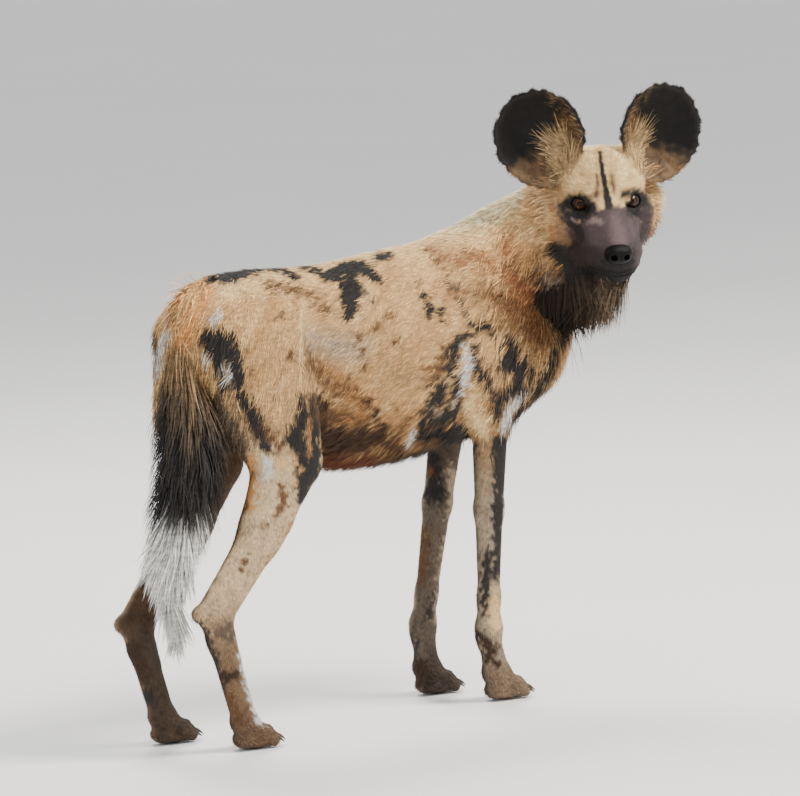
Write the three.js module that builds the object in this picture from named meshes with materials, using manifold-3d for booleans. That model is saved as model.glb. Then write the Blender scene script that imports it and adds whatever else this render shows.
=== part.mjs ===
// A standing African wild dog, life size, looking back over its right shoulder.
// Millimetres. X points ahead along the trunk, Y to the dog's left and Z up. All four soles lie at one level.
import * as THREE from 'three';
import { mergeVertices } from 'three/addons/utils/BufferGeometryUtils.js';
import Module from 'manifold-3d';

const wasm = await Module();
wasm.setup();

const v = (x, y, z) => new THREE.Vector3(x, y, z);
const UP = v(0, 0, 1);
const SIDE = v(0, 1, 0);

// Driving dimensions. The design frame has its origin on the floor below the hips.
const GAP = 0.3; // clearance between nodes that touch
const GROWTH = 1.5 * GAP; // growth of a faceted skin's corners that keeps its faces clear by the gap
const BACK_HEIGHT = 660; // floor to the top of the loin
const CHEST_FLOOR = 366; // floor to the breastbone
const LEG_SPREAD = 66; // middle line of the body to the middle of each paw
const EYE_RADIUS = 11.5;
const EYE_HALF_SPACING = 38;
const EYE_OUTWARD = 20; // degrees that each eye looks out from straight ahead
const LID_HALF_WIDTH = 14;
const LID_HALF_HEIGHT = 9.5;
const NOSE_WIDTH = 42;
const NOSE_HEIGHT = 30;
const NOSE_DEPTH = 34;
const MOUTH_CORNER = 8; // how far ahead of the eyes the mouth ends
const EAR_HEIGHT = 138;
const EAR_WIDTH = 125;
const EAR_DEPTH = 34; // depth of the cup
const EAR_THICKNESS = 4;
const PALM_HALF_WIDTH = 25;
const CLAW_LENGTH = 17;
const TAIL_CORE = 19; // radius of the tail's core at its thickest
const TAIL_COAT = 48; // radius out to the tips of the tail's coat

// Trunk stations from rump to breast: distance ahead, top, bottom and half width.
const TRUNK = [
  [-26, 616, 540, 30],
  [0, 642, 524, 48],
  [36, 659, 486, 66],
  [90, BACK_HEIGHT + 1, 438, 74],
  [165, BACK_HEIGHT - 4, 384, 76],
  [240, BACK_HEIGHT - 4, 356, 88],
  [330, BACK_HEIGHT + 2, 354, 94],
  [420, BACK_HEIGHT + 8, CHEST_FLOOR, 86],
  [495, BACK_HEIGHT + 16, CHEST_FLOOR + 12, 76],
  [558, BACK_HEIGHT - 14, CHEST_FLOOR + 40, 64],
  [600, BACK_HEIGHT - 80, CHEST_FLOOR + 76, 48],
];
// Neck stations from the shoulders to the nape: centre, half depth and half width.
const NECK = [
  [v(486, 0, 572), 102, 72],
  [v(548, -8, 612), 89, 68],
  [v(602, -28, 646), 78, 64],
  [v(640, -64, 676), 70, 62],
  [v(652, -104, 694), 60, 58],
];
// Tail stations, hanging: centre, half thickness of the core and half thickness out to the tips of the coat.
const TAIL = [
  [v(26, 0, 630), 22, 24],
  [v(-12, 0, 622), 20, 26],
  [v(-36, -3, 582), TAIL_CORE - 1, 32],
  [v(-36, -8, 520), TAIL_CORE, 40],
  [v(-34, -10, 440), TAIL_CORE + 1, TAIL_COAT],
  [v(-47, -10, 355), TAIL_CORE + 1, TAIL_COAT - 1],
  [v(-66, -8, 275), TAIL_CORE - 3, 40],
  [v(-70, -6, 214), 9, 30],
  [v(-60, -4, 152), 4, 12],
];
// Leg joints. The left legs stand a little further back than the right ones.
const LEGS = {
  fore_right: {
    side: -1, fore: true, blade: v(452, -50, 622), shoulder: v(560, -54, 488), elbow: v(468, -60, 400),
    wrist: v(446, -62, 106), ball: v(458, -LEG_SPREAD + 4, 40),
  },
  fore_left: {
    side: 1, fore: true, blade: v(452, 50, 622), shoulder: v(562, 54, 488), elbow: v(492, 58, 400),
    wrist: v(426, 60, 104), ball: v(433, LEG_SPREAD - 4, 40),
  },
  hind_right: {
    side: -1, fore: false, hip: v(66, -42, 560), knee: v(104, -64, 384), hock: v(-52, -68, 190),
    heel: v(-82, -68, 199), ball: v(-12, -LEG_SPREAD - 2, 40),
  },
  hind_left: {
    side: 1, fore: false, hip: v(60, 42, 560), knee: v(66, 64, 380), hock: v(-86, 68, 170),
    heel: v(-113, 68, 178), ball: v(-50, LEG_SPREAD + 2, 40),
  },
};
// The four toes of a paw: offset across the paw and how far the toe's tip lies ahead of the ball.
const TOES = [[-21, 42], [-7.5, 55], [7.5, 55], [21, 42]];
// The head's frame: its origin lies midway between the eyes, x towards the nose and y to its left.
const HEAD_AT = v(615, -168, 709);
const HEAD_YAW = -119.5;
const HEAD_PITCH = 11;
const HEAD_ROLL = -1;
const headFrame = new THREE.Matrix4()
  .makeTranslation(HEAD_AT)
  .multiply(new THREE.Matrix4().makeRotationZ(THREE.MathUtils.degToRad(HEAD_YAW)))
  .multiply(new THREE.Matrix4().makeRotationY(THREE.MathUtils.degToRad(HEAD_PITCH)))
  .multiply(new THREE.Matrix4().makeRotationX(THREE.MathUtils.degToRad(HEAD_ROLL)));
const H = (x, y, z) => v(x, y, z).applyMatrix4(headFrame);
const HD = (x, y, z) => v(x, y, z).transformDirection(headFrame);

// A limb is a tapered rod from a to b whose half width along the side direction is wa to wb.
const limb = (a, b, ra, rb, blend = 10, side = SIDE, wa = ra, wb = rb) =>
  ({ a, b, ra, rb, blend, side, fa: wa / ra, fb: wb / rb, ab: b.clone().sub(a) });

const smoothMin = (d, e, k) => {
  const h = Math.max(k - Math.abs(d - e), 0) / k;
  return Math.min(d, e) - h * h * k * 0.25;
};

function limbDistance(l, p) {
  const q = p.clone().sub(l.a);
  const t = THREE.MathUtils.clamp(q.dot(l.ab) / Math.max(l.ab.lengthSq(), 1e-9), 0, 1);
  q.addScaledVector(l.ab, -t);
  const r = THREE.MathUtils.lerp(l.ra, l.rb, t);
  const f = THREE.MathUtils.lerp(l.fa, l.fb, t);
  const s = q.dot(l.side);
  const across = Math.max(q.lengthSq() - s * s, 0);
  const n = Math.sqrt(across + (s * s) / (f * f)) + 1e-9;
  const slope = Math.sqrt(across + (s * s) / f ** 4) / n;
  return (n - r) / Math.max(slope, 1e-6);
}

// A field is a list of limbs and chains. A chain's links join without a bulge; everything else blends.
function fieldDistance(field, p) {
  let d = 1e4;
  for (const item of field) {
    const e = item.links
      ? Math.min(...item.links.map((l) => limbDistance(l, p)))
      : limbDistance(item, p);
    d = smoothMin(d, e, item.blend);
  }
  return d;
}

const smoothCurve = (points) => new THREE.CatmullRomCurve3(points, false, 'centripetal');
const smoothSpine = (points, count) => smoothCurve(points).getSpacedPoints(count);

// A smooth chain through stations of centre, half depth and half width.
function chain(stations, blend, side = null, steps = 4) {
  const curve = smoothCurve(stations.map((s) => s[0]));
  const last = stations.length - 1;
  const at = (i) => {
    const u = (i / (last * steps)) * last;
    const k = Math.min(Math.floor(u), last - 1);
    const t = u - k;
    const ease = (j) => {
      const g = (n) => stations[THREE.MathUtils.clamp(n, 0, last)][j];
      const [p0, p1, p2, p3] = [g(k - 1), g(k), g(k + 1), g(k + 2)];
      return 0.5 * (2 * p1 + (p2 - p0) * t + (2 * p0 - 5 * p1 + 4 * p2 - p3) * t * t
        + (3 * p1 - p0 - 3 * p2 + p3) * t ** 3);
    };
    return { c: curve.getPoint(u / last), r: ease(1), w: ease(2) };
  };
  const links = [];
  for (let i = 0; i < last * steps; i++) {
    const [m, n] = [at(i), at(i + 1)];
    const along = n.c.clone().sub(m.c);
    const across = side ?? UP.clone().cross(along).normalize();
    links.push(limb(m.c, n.c, m.r, n.r, blend, across, m.w, n.w));
  }
  return { links, blend };
}

const trunkStations = TRUNK.map(([x, top, bottom, w]) => [v(x, 0, (top + bottom) / 2), (top - bottom) / 2, w]);
const mid = (a, b, t) => a.clone().lerp(b, t);
const shift = (p, x, y, z) => p.clone().add(v(x, y, z));

const torsoField = [chain(trunkStations, 20, SIDE)];
for (const leg of Object.values(LEGS)) {
  const { side } = leg;
  if (leg.fore) {
    torsoField.push(
      limb(leg.blade, leg.shoulder, 46, 42, 44, SIDE, 26, 26),
      limb(leg.shoulder, shift(leg.elbow, 10, 0, 22), 44, 42, 36, SIDE, 30, 27),
      limb(shift(leg.elbow, -26, 0, 78), shift(leg.elbow, -14, 0, 16), 38, 24, 34, SIDE, 22, 20),
    );
  } else {
    torsoField.push(
      limb(leg.hip, shift(leg.knee, -18, -side * 4, 66), 74, 58, 40, SIDE, 38, 34),
      limb(shift(leg.hip, -58, side * 8, 10), shift(leg.knee, -78, -side * 12, 84), 40, 36, 40, SIDE, 30, 28),
      limb(shift(leg.hip, 34, side * 6, -60), shift(leg.knee, 4, -side * 4, 40), 36, 34, 40, SIDE, 24, 28),
    );
  }
}
const THROAT = [v(596, -40, 596), v(644, -116, 612)];
const neckField = [chain(NECK, 20), limb(...THROAT, 38, 40, 40, v(0.5, -0.866, 0), 34, 38)];
const tailField = [chain(TAIL.map(([c, core]) => [c, core, core]), 8, SIDE)];

// The palm over its pad, and the web that carries the toes.
function palmField(ball) {
  const w = PALM_HALF_WIDTH;
  return [
    limb(shift(ball, -2, 0, -2), shift(ball, 16, 0, -12), 19, 15, 10, SIDE, w - 2, w),
    limb(shift(ball, -6, 0, -26), shift(ball, 12, 0, -28), 15.5, 15.5, 8, SIDE, w - 3, w - 1),
    limb(shift(ball, 12, 0, -28), shift(ball, 32, 0, -31), 14, 11, 6, SIDE, w, w - 3),
  ];
}

function toeField(ball, [across, ahead]) {
  const root = shift(ball, 6, across * 0.7, -8);
  const knuckle = shift(ball, ahead - 25, across, -17);
  const tip = shift(ball, ahead - 10, across, -31);
  return [limb(root, knuckle, 12, 12.5, 4, SIDE, 9, 10), limb(knuckle, tip, 12.5, 10.8, 4, SIDE, 10, 9.2)];
}

// The foreleg below the shoulder: upper arm, point of the elbow, forearm, wrist with its pad, pastern and palm.
function foreLegField(leg) {
  const { shoulder, elbow, wrist, ball } = leg;
  const forearm = (t) => mid(elbow, wrist, t);
  return [
    limb(mid(shoulder, elbow, 0.6), shift(elbow, 6, 0, 6), 36, 36, 20, SIDE, 20, 24),
    limb(shift(elbow, -22, 0, 40), shift(elbow, -20, 0, 2), 28, 17, 20, SIDE, 18, 16),
    limb(shift(elbow, 2, 0, 4), forearm(0.42), 32, 25, 14, SIDE, 25, 20),
    limb(forearm(0.42), forearm(0.86), 25, 19, 12, SIDE, 20, 17),
    limb(forearm(0.84), wrist, 19, 22, 10, SIDE, 17, 20),
    limb(wrist, shift(wrist, -2, 0, -18), 22, 19, 10, SIDE, 20, 18),
    limb(shift(wrist, -19, 0, -6), shift(wrist, -20, 0, -12), 8, 8, 6),
    limb(shift(wrist, 0, 0, -16), shift(ball, -2, 0, 4), 19, 20, 10, SIDE, 18, 23),
    limb(shift(ball, -2, 0, 2), shift(ball, 2, 0, -16), 20, 17, 8, SIDE, 23, 22),
  ];
}

// The hind leg: lower thigh, stifle, shin with the calf and the heel's tendon, hock, pastern and sole.
function hindLegField(leg) {
  const { side, hip, knee, hock, heel, ball } = leg;
  const shin = (t) => mid(knee, hock, t);
  return [
    limb(mid(hip, knee, 0.4), shift(knee, -12, 0, 34), 58, 52, 20, SIDE, 22, 28),
    limb(shift(hip, -40, 0, -70), shift(knee, -58, -side * 4, 36), 30, 36, 24, SIDE, 20, 25),
    limb(shift(knee, 14, 0, 60), shift(knee, 8, 0, 8), 28, 32, 20, SIDE, 18, 26),
    limb(shift(knee, 2, 0, 0), shin(0.42), 40, 38, 16, SIDE, 28, 24),
    limb(shift(knee, -46, 0, 4), shin(0.52), 30, 28, 18, SIDE, 24, 20),
    limb(shift(shin(0.36), 6, 0, 3), shift(shin(0.95), 5, 0, 4), 37, 24, 14, SIDE, 23, 17),
    limb(shift(shin(0.45), -22, 0, 2), heel, 14, 11, 12, SIDE, 11, 12),
    limb(heel, hock, 14, 23, 10, SIDE, 14, 19),
    limb(hock, shift(hock, 4, 0, -30), 25, 23, 10, SIDE, 20, 18),
    limb(mid(heel, hock, 0.5), mid(hock, ball, 0.4), 17, 18, 10, SIDE, 15, 15),
    limb(shift(hock, 4, 0, -28), shift(ball, -3, 0, 4), 23, 20, 10, SIDE, 18, 21),
    limb(shift(ball, -3, 0, 2), shift(ball, 1, 0, -16), 20, 17, 8, SIDE, 21, 21),
  ];
}

// The head is built of rods in its own frame: skull, brows, cheeks, jaw, muzzle and the roots of the ears.
function headLimb(a, b, ra, rb, blend = 12, wa = ra, wb = rb) {
  return limb(H(...a), H(...b), ra, rb, blend, HD(0, 1, 0), wa, wb);
}
const MUZZLE = [[[0, 0, -30], 38, 48], [[30, 0, -53], 38, 45], [[52, 0, -62], 36, 41], [[63, 0, -65], 30, 36]];
const headField = [
  headLimb([-86, 0, 2], [-36, 0, 12], 54, 54, 20, 56, 60),
  headLimb([-28, 0, 28], [-10, 0, 8], 40, 28, 20, 46, 40),
  chain(MUZZLE.map(([c, r, w]) => [H(...c), r, w]), 18, HD(0, 1, 0)),
  headLimb([0, 0, -4], [78, 0, -46], 16, 12, 14, 20, 17),
  headLimb([-44, 0, -72], [62, 0, -93], 26, 15, 16, 48, 26),
];
for (const s of [-1, 1]) {
  headField.push(
    headLimb([-1, s * 20, 21], [-12, s * 47, 18], 11, 13, 14),
    headLimb([-14, s * 50, -20], [-62, s * 60, -20], 22, 31, 20),
    headLimb([-34, s * 48, -46], [-62, s * 52, -50], 32, 34, 22),
    headLimb([58, s * 20, -73], [8, s * 37, -78], 15, 18, 12),
    headLimb([-74, s * 36, 30], [-92, s * 60, 40], 26, 18, 22),
  );
}

// Walks out from a point inside the field until it meets the surface.
function rayLength(field, from, direction, limit = 260) {
  const at = from.clone();
  let inside = 0;
  let reach = 0;
  while (reach < limit) {
    const d = fieldDistance(field, at.copy(from).addScaledVector(direction, reach));
    if (d > 0) break;
    inside = reach;
    reach += Math.max(-d * 0.6, 1.5);
  }
  for (let i = 0; i < 14; i++) {
    const half = (inside + reach) / 2;
    if (fieldDistance(field, at.copy(from).addScaledVector(direction, half)) > 0) reach = half;
    else inside = half;
  }
  return inside;
}

// A closed skin of rings. Each ring is a list of points. The two ends close on their own centres or on given tips.
function ringSkin(rings, startTip = null, endTip = null) {
  const n = rings[0].length;
  const centre = (ring) => ring.reduce((s, p) => s.add(p), v(0, 0, 0)).divideScalar(ring.length);
  const points = rings.flat();
  const index = [];
  for (let i = 0; i < rings.length - 1; i++) {
    for (let j = 0; j < n; j++) {
      const [a, b] = [i * n + j, i * n + ((j + 1) % n)];
      index.push(a, b, b + n, a, b + n, a + n);
    }
  }
  const first = points.push(startTip ?? centre(rings[0])) - 1;
  const end = points.push(endTip ?? centre(rings.at(-1))) - 1;
  const base = (rings.length - 1) * n;
  for (let j = 0; j < n; j++) {
    index.push(first, (j + 1) % n, j);
    index.push(end, base + j, base + ((j + 1) % n));
  }
  const geometry = new THREE.BufferGeometry().setFromPoints(points);
  geometry.setIndex(index);
  return geometry;
}

// Skins a field along a spine of points. There is one ring a station, and each vertex lies where a ray across
// the spine leaves the field.
function fieldSkin(field, spine, sides, reference = SIDE) {
  const tangents = spine.map((p, i) =>
    spine[Math.min(i + 1, spine.length - 1)].clone().sub(spine[Math.max(i - 1, 0)]).normalize());
  const rings = spine.map((p, i) => {
    const across = reference.clone().addScaledVector(tangents[i], -reference.dot(tangents[i])).normalize();
    const over = tangents[i].clone().cross(across);
    return Array.from({ length: sides }, (_, j) => {
      const angle = (2 * Math.PI * (j + 0.5)) / sides;
      const out = across.clone().multiplyScalar(Math.cos(angle)).addScaledVector(over, Math.sin(angle));
      return p.clone().addScaledVector(out, Math.max(rayLength(field, p, out), 0.8));
    });
  });
  const tip = (p, t) => p.clone().addScaledVector(t, rayLength(field, p, t));
  const start = tip(spine[0], tangents[0].clone().negate());
  return solid(ringSkin(rings, start, tip(spine.at(-1), tangents.at(-1))));
}

function solid(geometry) {
  const bare = (geometry.index ? geometry.toNonIndexed() : geometry.clone());
  const clean = new THREE.BufferGeometry().setAttribute('position', bare.getAttribute('position'));
  const merged = mergeVertices(clean, 1e-3);
  const made = new wasm.Manifold(new wasm.Mesh({
    numProp: 3,
    vertProperties: merged.attributes.position.array,
    triVerts: new Uint32Array(merged.index.array),
  }));
  if (made.volume() < 0) throw new Error('a piece is inside out');
  return made;
}

function meshGeometry(made) {
  const mesh = made.getMesh();
  const geometry = new THREE.BufferGeometry()
    .setAttribute('position', new THREE.BufferAttribute(new Float32Array(mesh.vertProperties), 3))
    .setIndex(new THREE.BufferAttribute(new Uint32Array(mesh.triVerts), 1));
  geometry.computeVertexNormals();
  return geometry;
}

// A skin grown along its vertex normals. What is cut by it keeps clear of the skin by about the gap.
function grown(made) {
  const geometry = meshGeometry(made);
  const { position, normal } = geometry.attributes;
  const [p, n] = [v(0, 0, 0), v(0, 0, 0)];
  for (let i = 0; i < position.count; i++) {
    p.fromBufferAttribute(position, i).addScaledVector(n.fromBufferAttribute(normal, i), GROWTH);
    position.setXYZ(i, p.x, p.y, p.z);
  }
  return solid(geometry);
}

const group = new THREE.Group();
const finishes = {};
function finish(name, colour, roughness) {
  finishes[name] = new THREE.MeshStandardMaterial({ color: colour, roughness, metalness: 0, name });
}
finish('coat', 0xb98c58, 0.9);
finish('dark_coat', 0x2c241f, 0.9);
finish('nose', 0x17130f, 0.45);
finish('eye', 0x5a3517, 0.08);
finish('claw', 0x2a241e, 0.5);

function addNode(name, made, material) {
  const whole = made.decompose().sort((a, b) => b.volume() - a.volume())[0];
  const node = new THREE.Mesh(meshGeometry(whole), finishes[material]);
  node.name = name;
  group.add(node);
}

const torsoSpine = smoothSpine(trunkStations.map((s) => s[0]), 22);
const neckSpine = smoothSpine(NECK.map((s) => s[0]), 10);
const HEAD_LINE = [[-118, 0, -14], [-60, 0, -14], [0, 0, -32], [54, 0, -62], [78, 0, -68]];
const headSpine = smoothSpine(HEAD_LINE.map((c) => H(...c)), 18);
const tailCurve = smoothCurve(TAIL.map((s) => s[0]));
const tailSpine = tailCurve.getSpacedPoints(15);
function foreSpine({ blade, shoulder, elbow, wrist, ball }) {
  const upper = [mid(blade, shoulder, 0.6), mid(shoulder, elbow, 0.6)];
  return smoothSpine([...upper, elbow, wrist, ball, shift(ball, 2, 0, -12)], 20);
}
function hindSpine({ hip, knee, hock, ball }) {
  const stifle = shift(knee, -20, 0, 0);
  return smoothSpine([hip, stifle, mid(stifle, hock, 0.6), hock, ball, shift(ball, 2, 0, -12)], 23);
}

const torsoSkin = fieldSkin(torsoField, torsoSpine, 24);
const headSkin = fieldSkin(headField, headSpine, 24, HD(0, 1, 0));
const neckSkin = fieldSkin(neckField, neckSpine, 18, UP);
const tailSkin = fieldSkin(tailField, tailSpine, 9);

// A tube through points. Its radius is a function of the place along it, and flat sets how thin it is over.
function tube(points, radius, sides, over, flat = 1, tips = []) {
  const last = points.length - 1;
  const rings = points.map((p, i) => {
    const along = points[Math.min(i + 1, last)].clone().sub(points[Math.max(i - 1, 0)]).normalize();
    const across = over.clone().cross(along).normalize();
    const above = along.clone().cross(across);
    return Array.from({ length: sides }, (_, j) => {
      const angle = (2 * Math.PI * j) / sides;
      return p.clone()
        .addScaledVector(across, radius(i / last) * Math.cos(angle))
        .addScaledVector(above, radius(i / last) * flat * Math.sin(angle));
    });
  });
  return solid(ringSkin(rings, ...tips));
}

// A closed ring of tube through points round a centre.
function tubeLoop(points, radius, centre, sides = 6) {
  const n = points.length;
  const index = [];
  const vertices = points.flatMap((p, i) => {
    const along = points[(i + 1) % n].clone().sub(points[(i + n - 1) % n]).normalize();
    const out = p.clone().sub(centre);
    out.addScaledVector(along, -out.dot(along)).normalize();
    const over = along.clone().cross(out);
    return Array.from({ length: sides }, (_, j) => {
      const angle = (2 * Math.PI * j) / sides;
      const [a, b] = [i * sides + j, i * sides + ((j + 1) % sides)];
      const [c, d] = [((i + 1) % n) * sides + j, ((i + 1) % n) * sides + ((j + 1) % sides)];
      index.push(a, b, d, a, d, c);
      return p.clone()
        .addScaledVector(out, radius * Math.cos(angle))
        .addScaledVector(over, radius * Math.sin(angle));
    });
  });
  const geometry = new THREE.BufferGeometry().setFromPoints(vertices);
  geometry.setIndex(index);
  return solid(geometry);
}

// An ellipsoid given by its centre and its three half axes as vectors in the head's frame.
function headEllipsoid(centre, [x, y, z], turn = 0, width = 16, height = 10) {
  const geometry = new THREE.SphereGeometry(1, width, height);
  geometry.applyMatrix4(new THREE.Matrix4().makeScale(x, y, z));
  geometry.applyMatrix4(new THREE.Matrix4().makeRotationZ(THREE.MathUtils.degToRad(turn)));
  geometry.applyMatrix4(new THREE.Matrix4().makeTranslation(...centre));
  geometry.applyMatrix4(headFrame);
  return solid(geometry);
}

const eyeCentre = (s) => [0, s * EYE_HALF_SPACING, 0];
const eyeBall = (s, offset) => {
  const r = EYE_RADIUS + offset;
  return headEllipsoid(eyeCentre(s), [r, r, r], s * EYE_OUTWARD, 12, 8);
};

// The lids follow an almond on the eyeball, its outer corner a little higher than the inner one.
const LID_SLANT = 0.12;
const LID_STEPS = 14;
function lidPoint(s, angle, radius) {
  const across = (Math.cos(angle) * LID_HALF_WIDTH) / EYE_RADIUS;
  const almond = 1 - 0.35 * Math.abs(Math.cos(angle));
  const up = (Math.sin(angle) * LID_HALF_HEIGHT * almond) / EYE_RADIUS + across * LID_SLANT;
  const turn = THREE.MathUtils.degToRad(EYE_OUTWARD) + across * 0.85;
  const direction = v(Math.cos(turn) * Math.cos(up), s * Math.sin(turn) * Math.cos(up), Math.sin(up));
  return direction.multiplyScalar(radius).add(v(...eyeCentre(s))).applyMatrix4(headFrame);
}
const lidRing = (s, radius) =>
  Array.from({ length: LID_STEPS }, (_, i) => lidPoint(s, (s * 2 * Math.PI * i) / LID_STEPS, radius));
const lids = (s) => tubeLoop(lidRing(s, EYE_RADIUS + 1), 2, H(...eyeCentre(s)), 5);
const eyeOpening = (s) => solid(ringSkin([lidRing(s, EYE_RADIUS - 3), lidRing(s, EYE_RADIUS * 1.9)]));

// The mouth is a groove round the muzzle between two lips.
const MOUTH_STEPS = 13;
function mouthLine(lift, inset) {
  return Array.from({ length: MOUTH_STEPS + 1 }, (_, i) => {
    const angle = Math.PI * (i / MOUTH_STEPS - 0.5);
    const ahead = THREE.MathUtils.lerp(MOUTH_CORNER, 56, Math.cos(angle) ** 0.6);
    const from = H(ahead, 0, -89 + 9 * (1 - Math.cos(angle)) + lift);
    const out = HD(Math.cos(angle), Math.sin(angle), 0);
    return from.clone().addScaledVector(out, rayLength(headField, from, out) - inset);
  });
}
const lipTube = (lift, inset, radius) =>
  tube(mouthLine(lift, inset), (t) => radius * Math.min(1, 0.3 + 6 * Math.min(t, 1 - t)), 6, HD(0, 0, 1));

const noseCentre = [84, 0, -50];
function nosePad(offset) {
  const half = [NOSE_DEPTH / 2 + offset, NOSE_WIDTH / 2 + offset, NOSE_HEIGHT / 2 + offset];
  return headEllipsoid(noseCentre, half, 0, 13, 8);
}
const nostril = (s) => headEllipsoid([99, s * 9, -51], [9, 4.2, 5.6], s * 30, 8, 6);
const nostrilSlit = (s) => headEllipsoid([93, s * 17, -54], [8, 7, 2.4], s * 40, 8, 6);

// An ear is a round cup. Across and up run over its face from its middle; the face looks ahead and out.
const EAR_OUTWARD = 17;
const EAR_LEAN = 15;
function earFrame(s) {
  const face = v(1, s * Math.tan(THREE.MathUtils.degToRad(EAR_OUTWARD)), 0.12).normalize();
  const lean = v(-0.1, s * Math.tan(THREE.MathUtils.degToRad(EAR_LEAN)), 1);
  const up = lean.addScaledVector(face, -lean.dot(face)).normalize();
  const across = v(0, s, 0);
  across.addScaledVector(face, -across.dot(face)).addScaledVector(up, -across.dot(up)).normalize();
  return { face, up, across, centre: v(-40, s * 88, 82) };
}
// Rim of the ear in its own plane. It narrows towards the root, and its outer lobe hangs a little.
function earRim(angle) {
  const up = Math.sin(angle);
  const narrow = 1 - 0.16 * Math.max(-up, 0) ** 1.5;
  return [Math.cos(angle) * (EAR_WIDTH / 2) * narrow, up * (EAR_HEIGHT / 2)];
}
function earPoint(s, angle, reach, behind) {
  const { face, up, across, centre } = earFrame(s);
  const [a, b] = earRim(angle).map((r) => r * reach);
  const cup = 1 - reach ** 2.2;
  const low = Math.max(-b / EAR_HEIGHT, 0);
  const back = EAR_DEPTH * cup * (1 + low) + behind;
  return centre.clone()
    .addScaledVector(across, a)
    .addScaledVector(up, b)
    .addScaledVector(face, -back)
    .applyMatrix4(headFrame);
}
const EAR_SPOKES = 18;
function earShell(s) {
  const turn = (j) => (s * 2 * Math.PI * j) / EAR_SPOKES;
  const ring = (reach, behind) =>
    Array.from({ length: EAR_SPOKES }, (_, j) => earPoint(s, turn(j), reach, behind));
  const back = [0.3, 0.6, 0.82, 0.94].map((reach) => ring(reach, EAR_THICKNESS / 2));
  const rim = [ring(1, EAR_THICKNESS * 0.3), ring(1, -EAR_THICKNESS * 0.3)];
  const front = [0.94, 0.82, 0.6, 0.3].map((reach) => ring(reach, -EAR_THICKNESS / 2));
  const tips = [earPoint(s, 0, 0, EAR_THICKNESS / 2), earPoint(s, 0, 0, -EAR_THICKNESS / 2)];
  return solid(ringSkin([...back, ...rim, ...front], ...tips));
}

function palm(ball) {
  const spine = smoothSpine([shift(ball, -12, 0, -16), shift(ball, 12, 0, -20), shift(ball, 36, 0, -28)], 4);
  return fieldSkin(palmField(ball), spine, 10);
}

// A claw leaves the toe's tip and curves down to just above the floor.
function claw(ball, [across, ahead]) {
  const from = shift(ball, ahead - 8, across, -27);
  const points = [0, 0.5, 1].map((t) => shift(from, CLAW_LENGTH * t, across * 0.12 * t, 1.5 - 9 * t * t));
  return tube(points, (t) => 3.4 * (1 - 0.72 * t), 6, UP);
}
function toe(ball, place) {
  const [knuckle, tip] = toeField(ball, place);
  const spine = smoothSpine([knuckle.a, knuckle.b, tip.b], 3);
  return fieldSkin(toeField(ball, place), spine, 8);
}

// A lock is a flat blade that runs from a sunk root over a bend to its tip. Over points away from the skin.
// Its outline gives the share of the full width at places along it.
const LOCK_OUTLINE = [[0, 0.8], [0.45, 1], [0.8, 0.62]];
const LOCK_FLATNESS = 0.26;
function lock(root, bend, tip, over, width, offset = 0) {
  const path = new THREE.QuadraticBezierCurve3(root, bend, tip);
  const points = LOCK_OUTLINE.map(([place]) => path.getPoint(place));
  const radius = (t) => (width / 2) * LOCK_OUTLINE[Math.round(t * (LOCK_OUTLINE.length - 1))][1] + offset;
  return tube(points, radius, 4, over, LOCK_FLATNESS, [root, tip]);
}

// A repeatable random draw, spread evenly about the middle of a range.
let seed = 11;
function draw(low, high) {
  seed = (seed * 16807) % 2147483647;
  return THREE.MathUtils.lerp(low, high, seed / 2147483647);
}

// The tail's long hair hangs in tiers of locks, each tier rooted higher than where the one above it ends.
const TAIL_TIERS = 7;
const TAIL_LOCKS = 6;
function tailLocks() {
  const last = TAIL.length - 1;
  const girth = (u, column) => {
    const k = Math.min(Math.floor(u * last), last - 1);
    return THREE.MathUtils.lerp(TAIL[k][column], TAIL[k + 1][column], u * last - k);
  };
  const locks = [];
  for (let tier = 0; tier < TAIL_TIERS; tier++) {
    for (let i = 0; i < TAIL_LOCKS; i++) {
      const angle = (2 * Math.PI * (i + (tier % 2) / 2 + draw(-0.16, 0.16))) / TAIL_LOCKS;
      const out = v(Math.cos(angle), Math.sin(angle), 0);
      const from = THREE.MathUtils.lerp(0.1, 0.8, tier / (TAIL_TIERS - 1));
      const to = Math.min(from + draw(0.21, 0.25), draw(0.95, 1));
      const at = (u, share) => {
        const reach = THREE.MathUtils.lerp(girth(u, 1), girth(u, 2), share);
        return tailCurve.getPoint(u).addScaledVector(out, reach);
      };
      const root = tailCurve.getPoint(from).addScaledVector(out, girth(from, 1) * 0.45);
      const width = (2.3 * Math.PI * THREE.MathUtils.lerp(girth(to, 1), girth(to, 2), 0.5)) / TAIL_LOCKS + 6;
      locks.push(lock(root, at((from + to) / 2, 0.85), at(to, draw(0.88, 1)), out, width));
    }
  }
  return locks;
}

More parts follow.
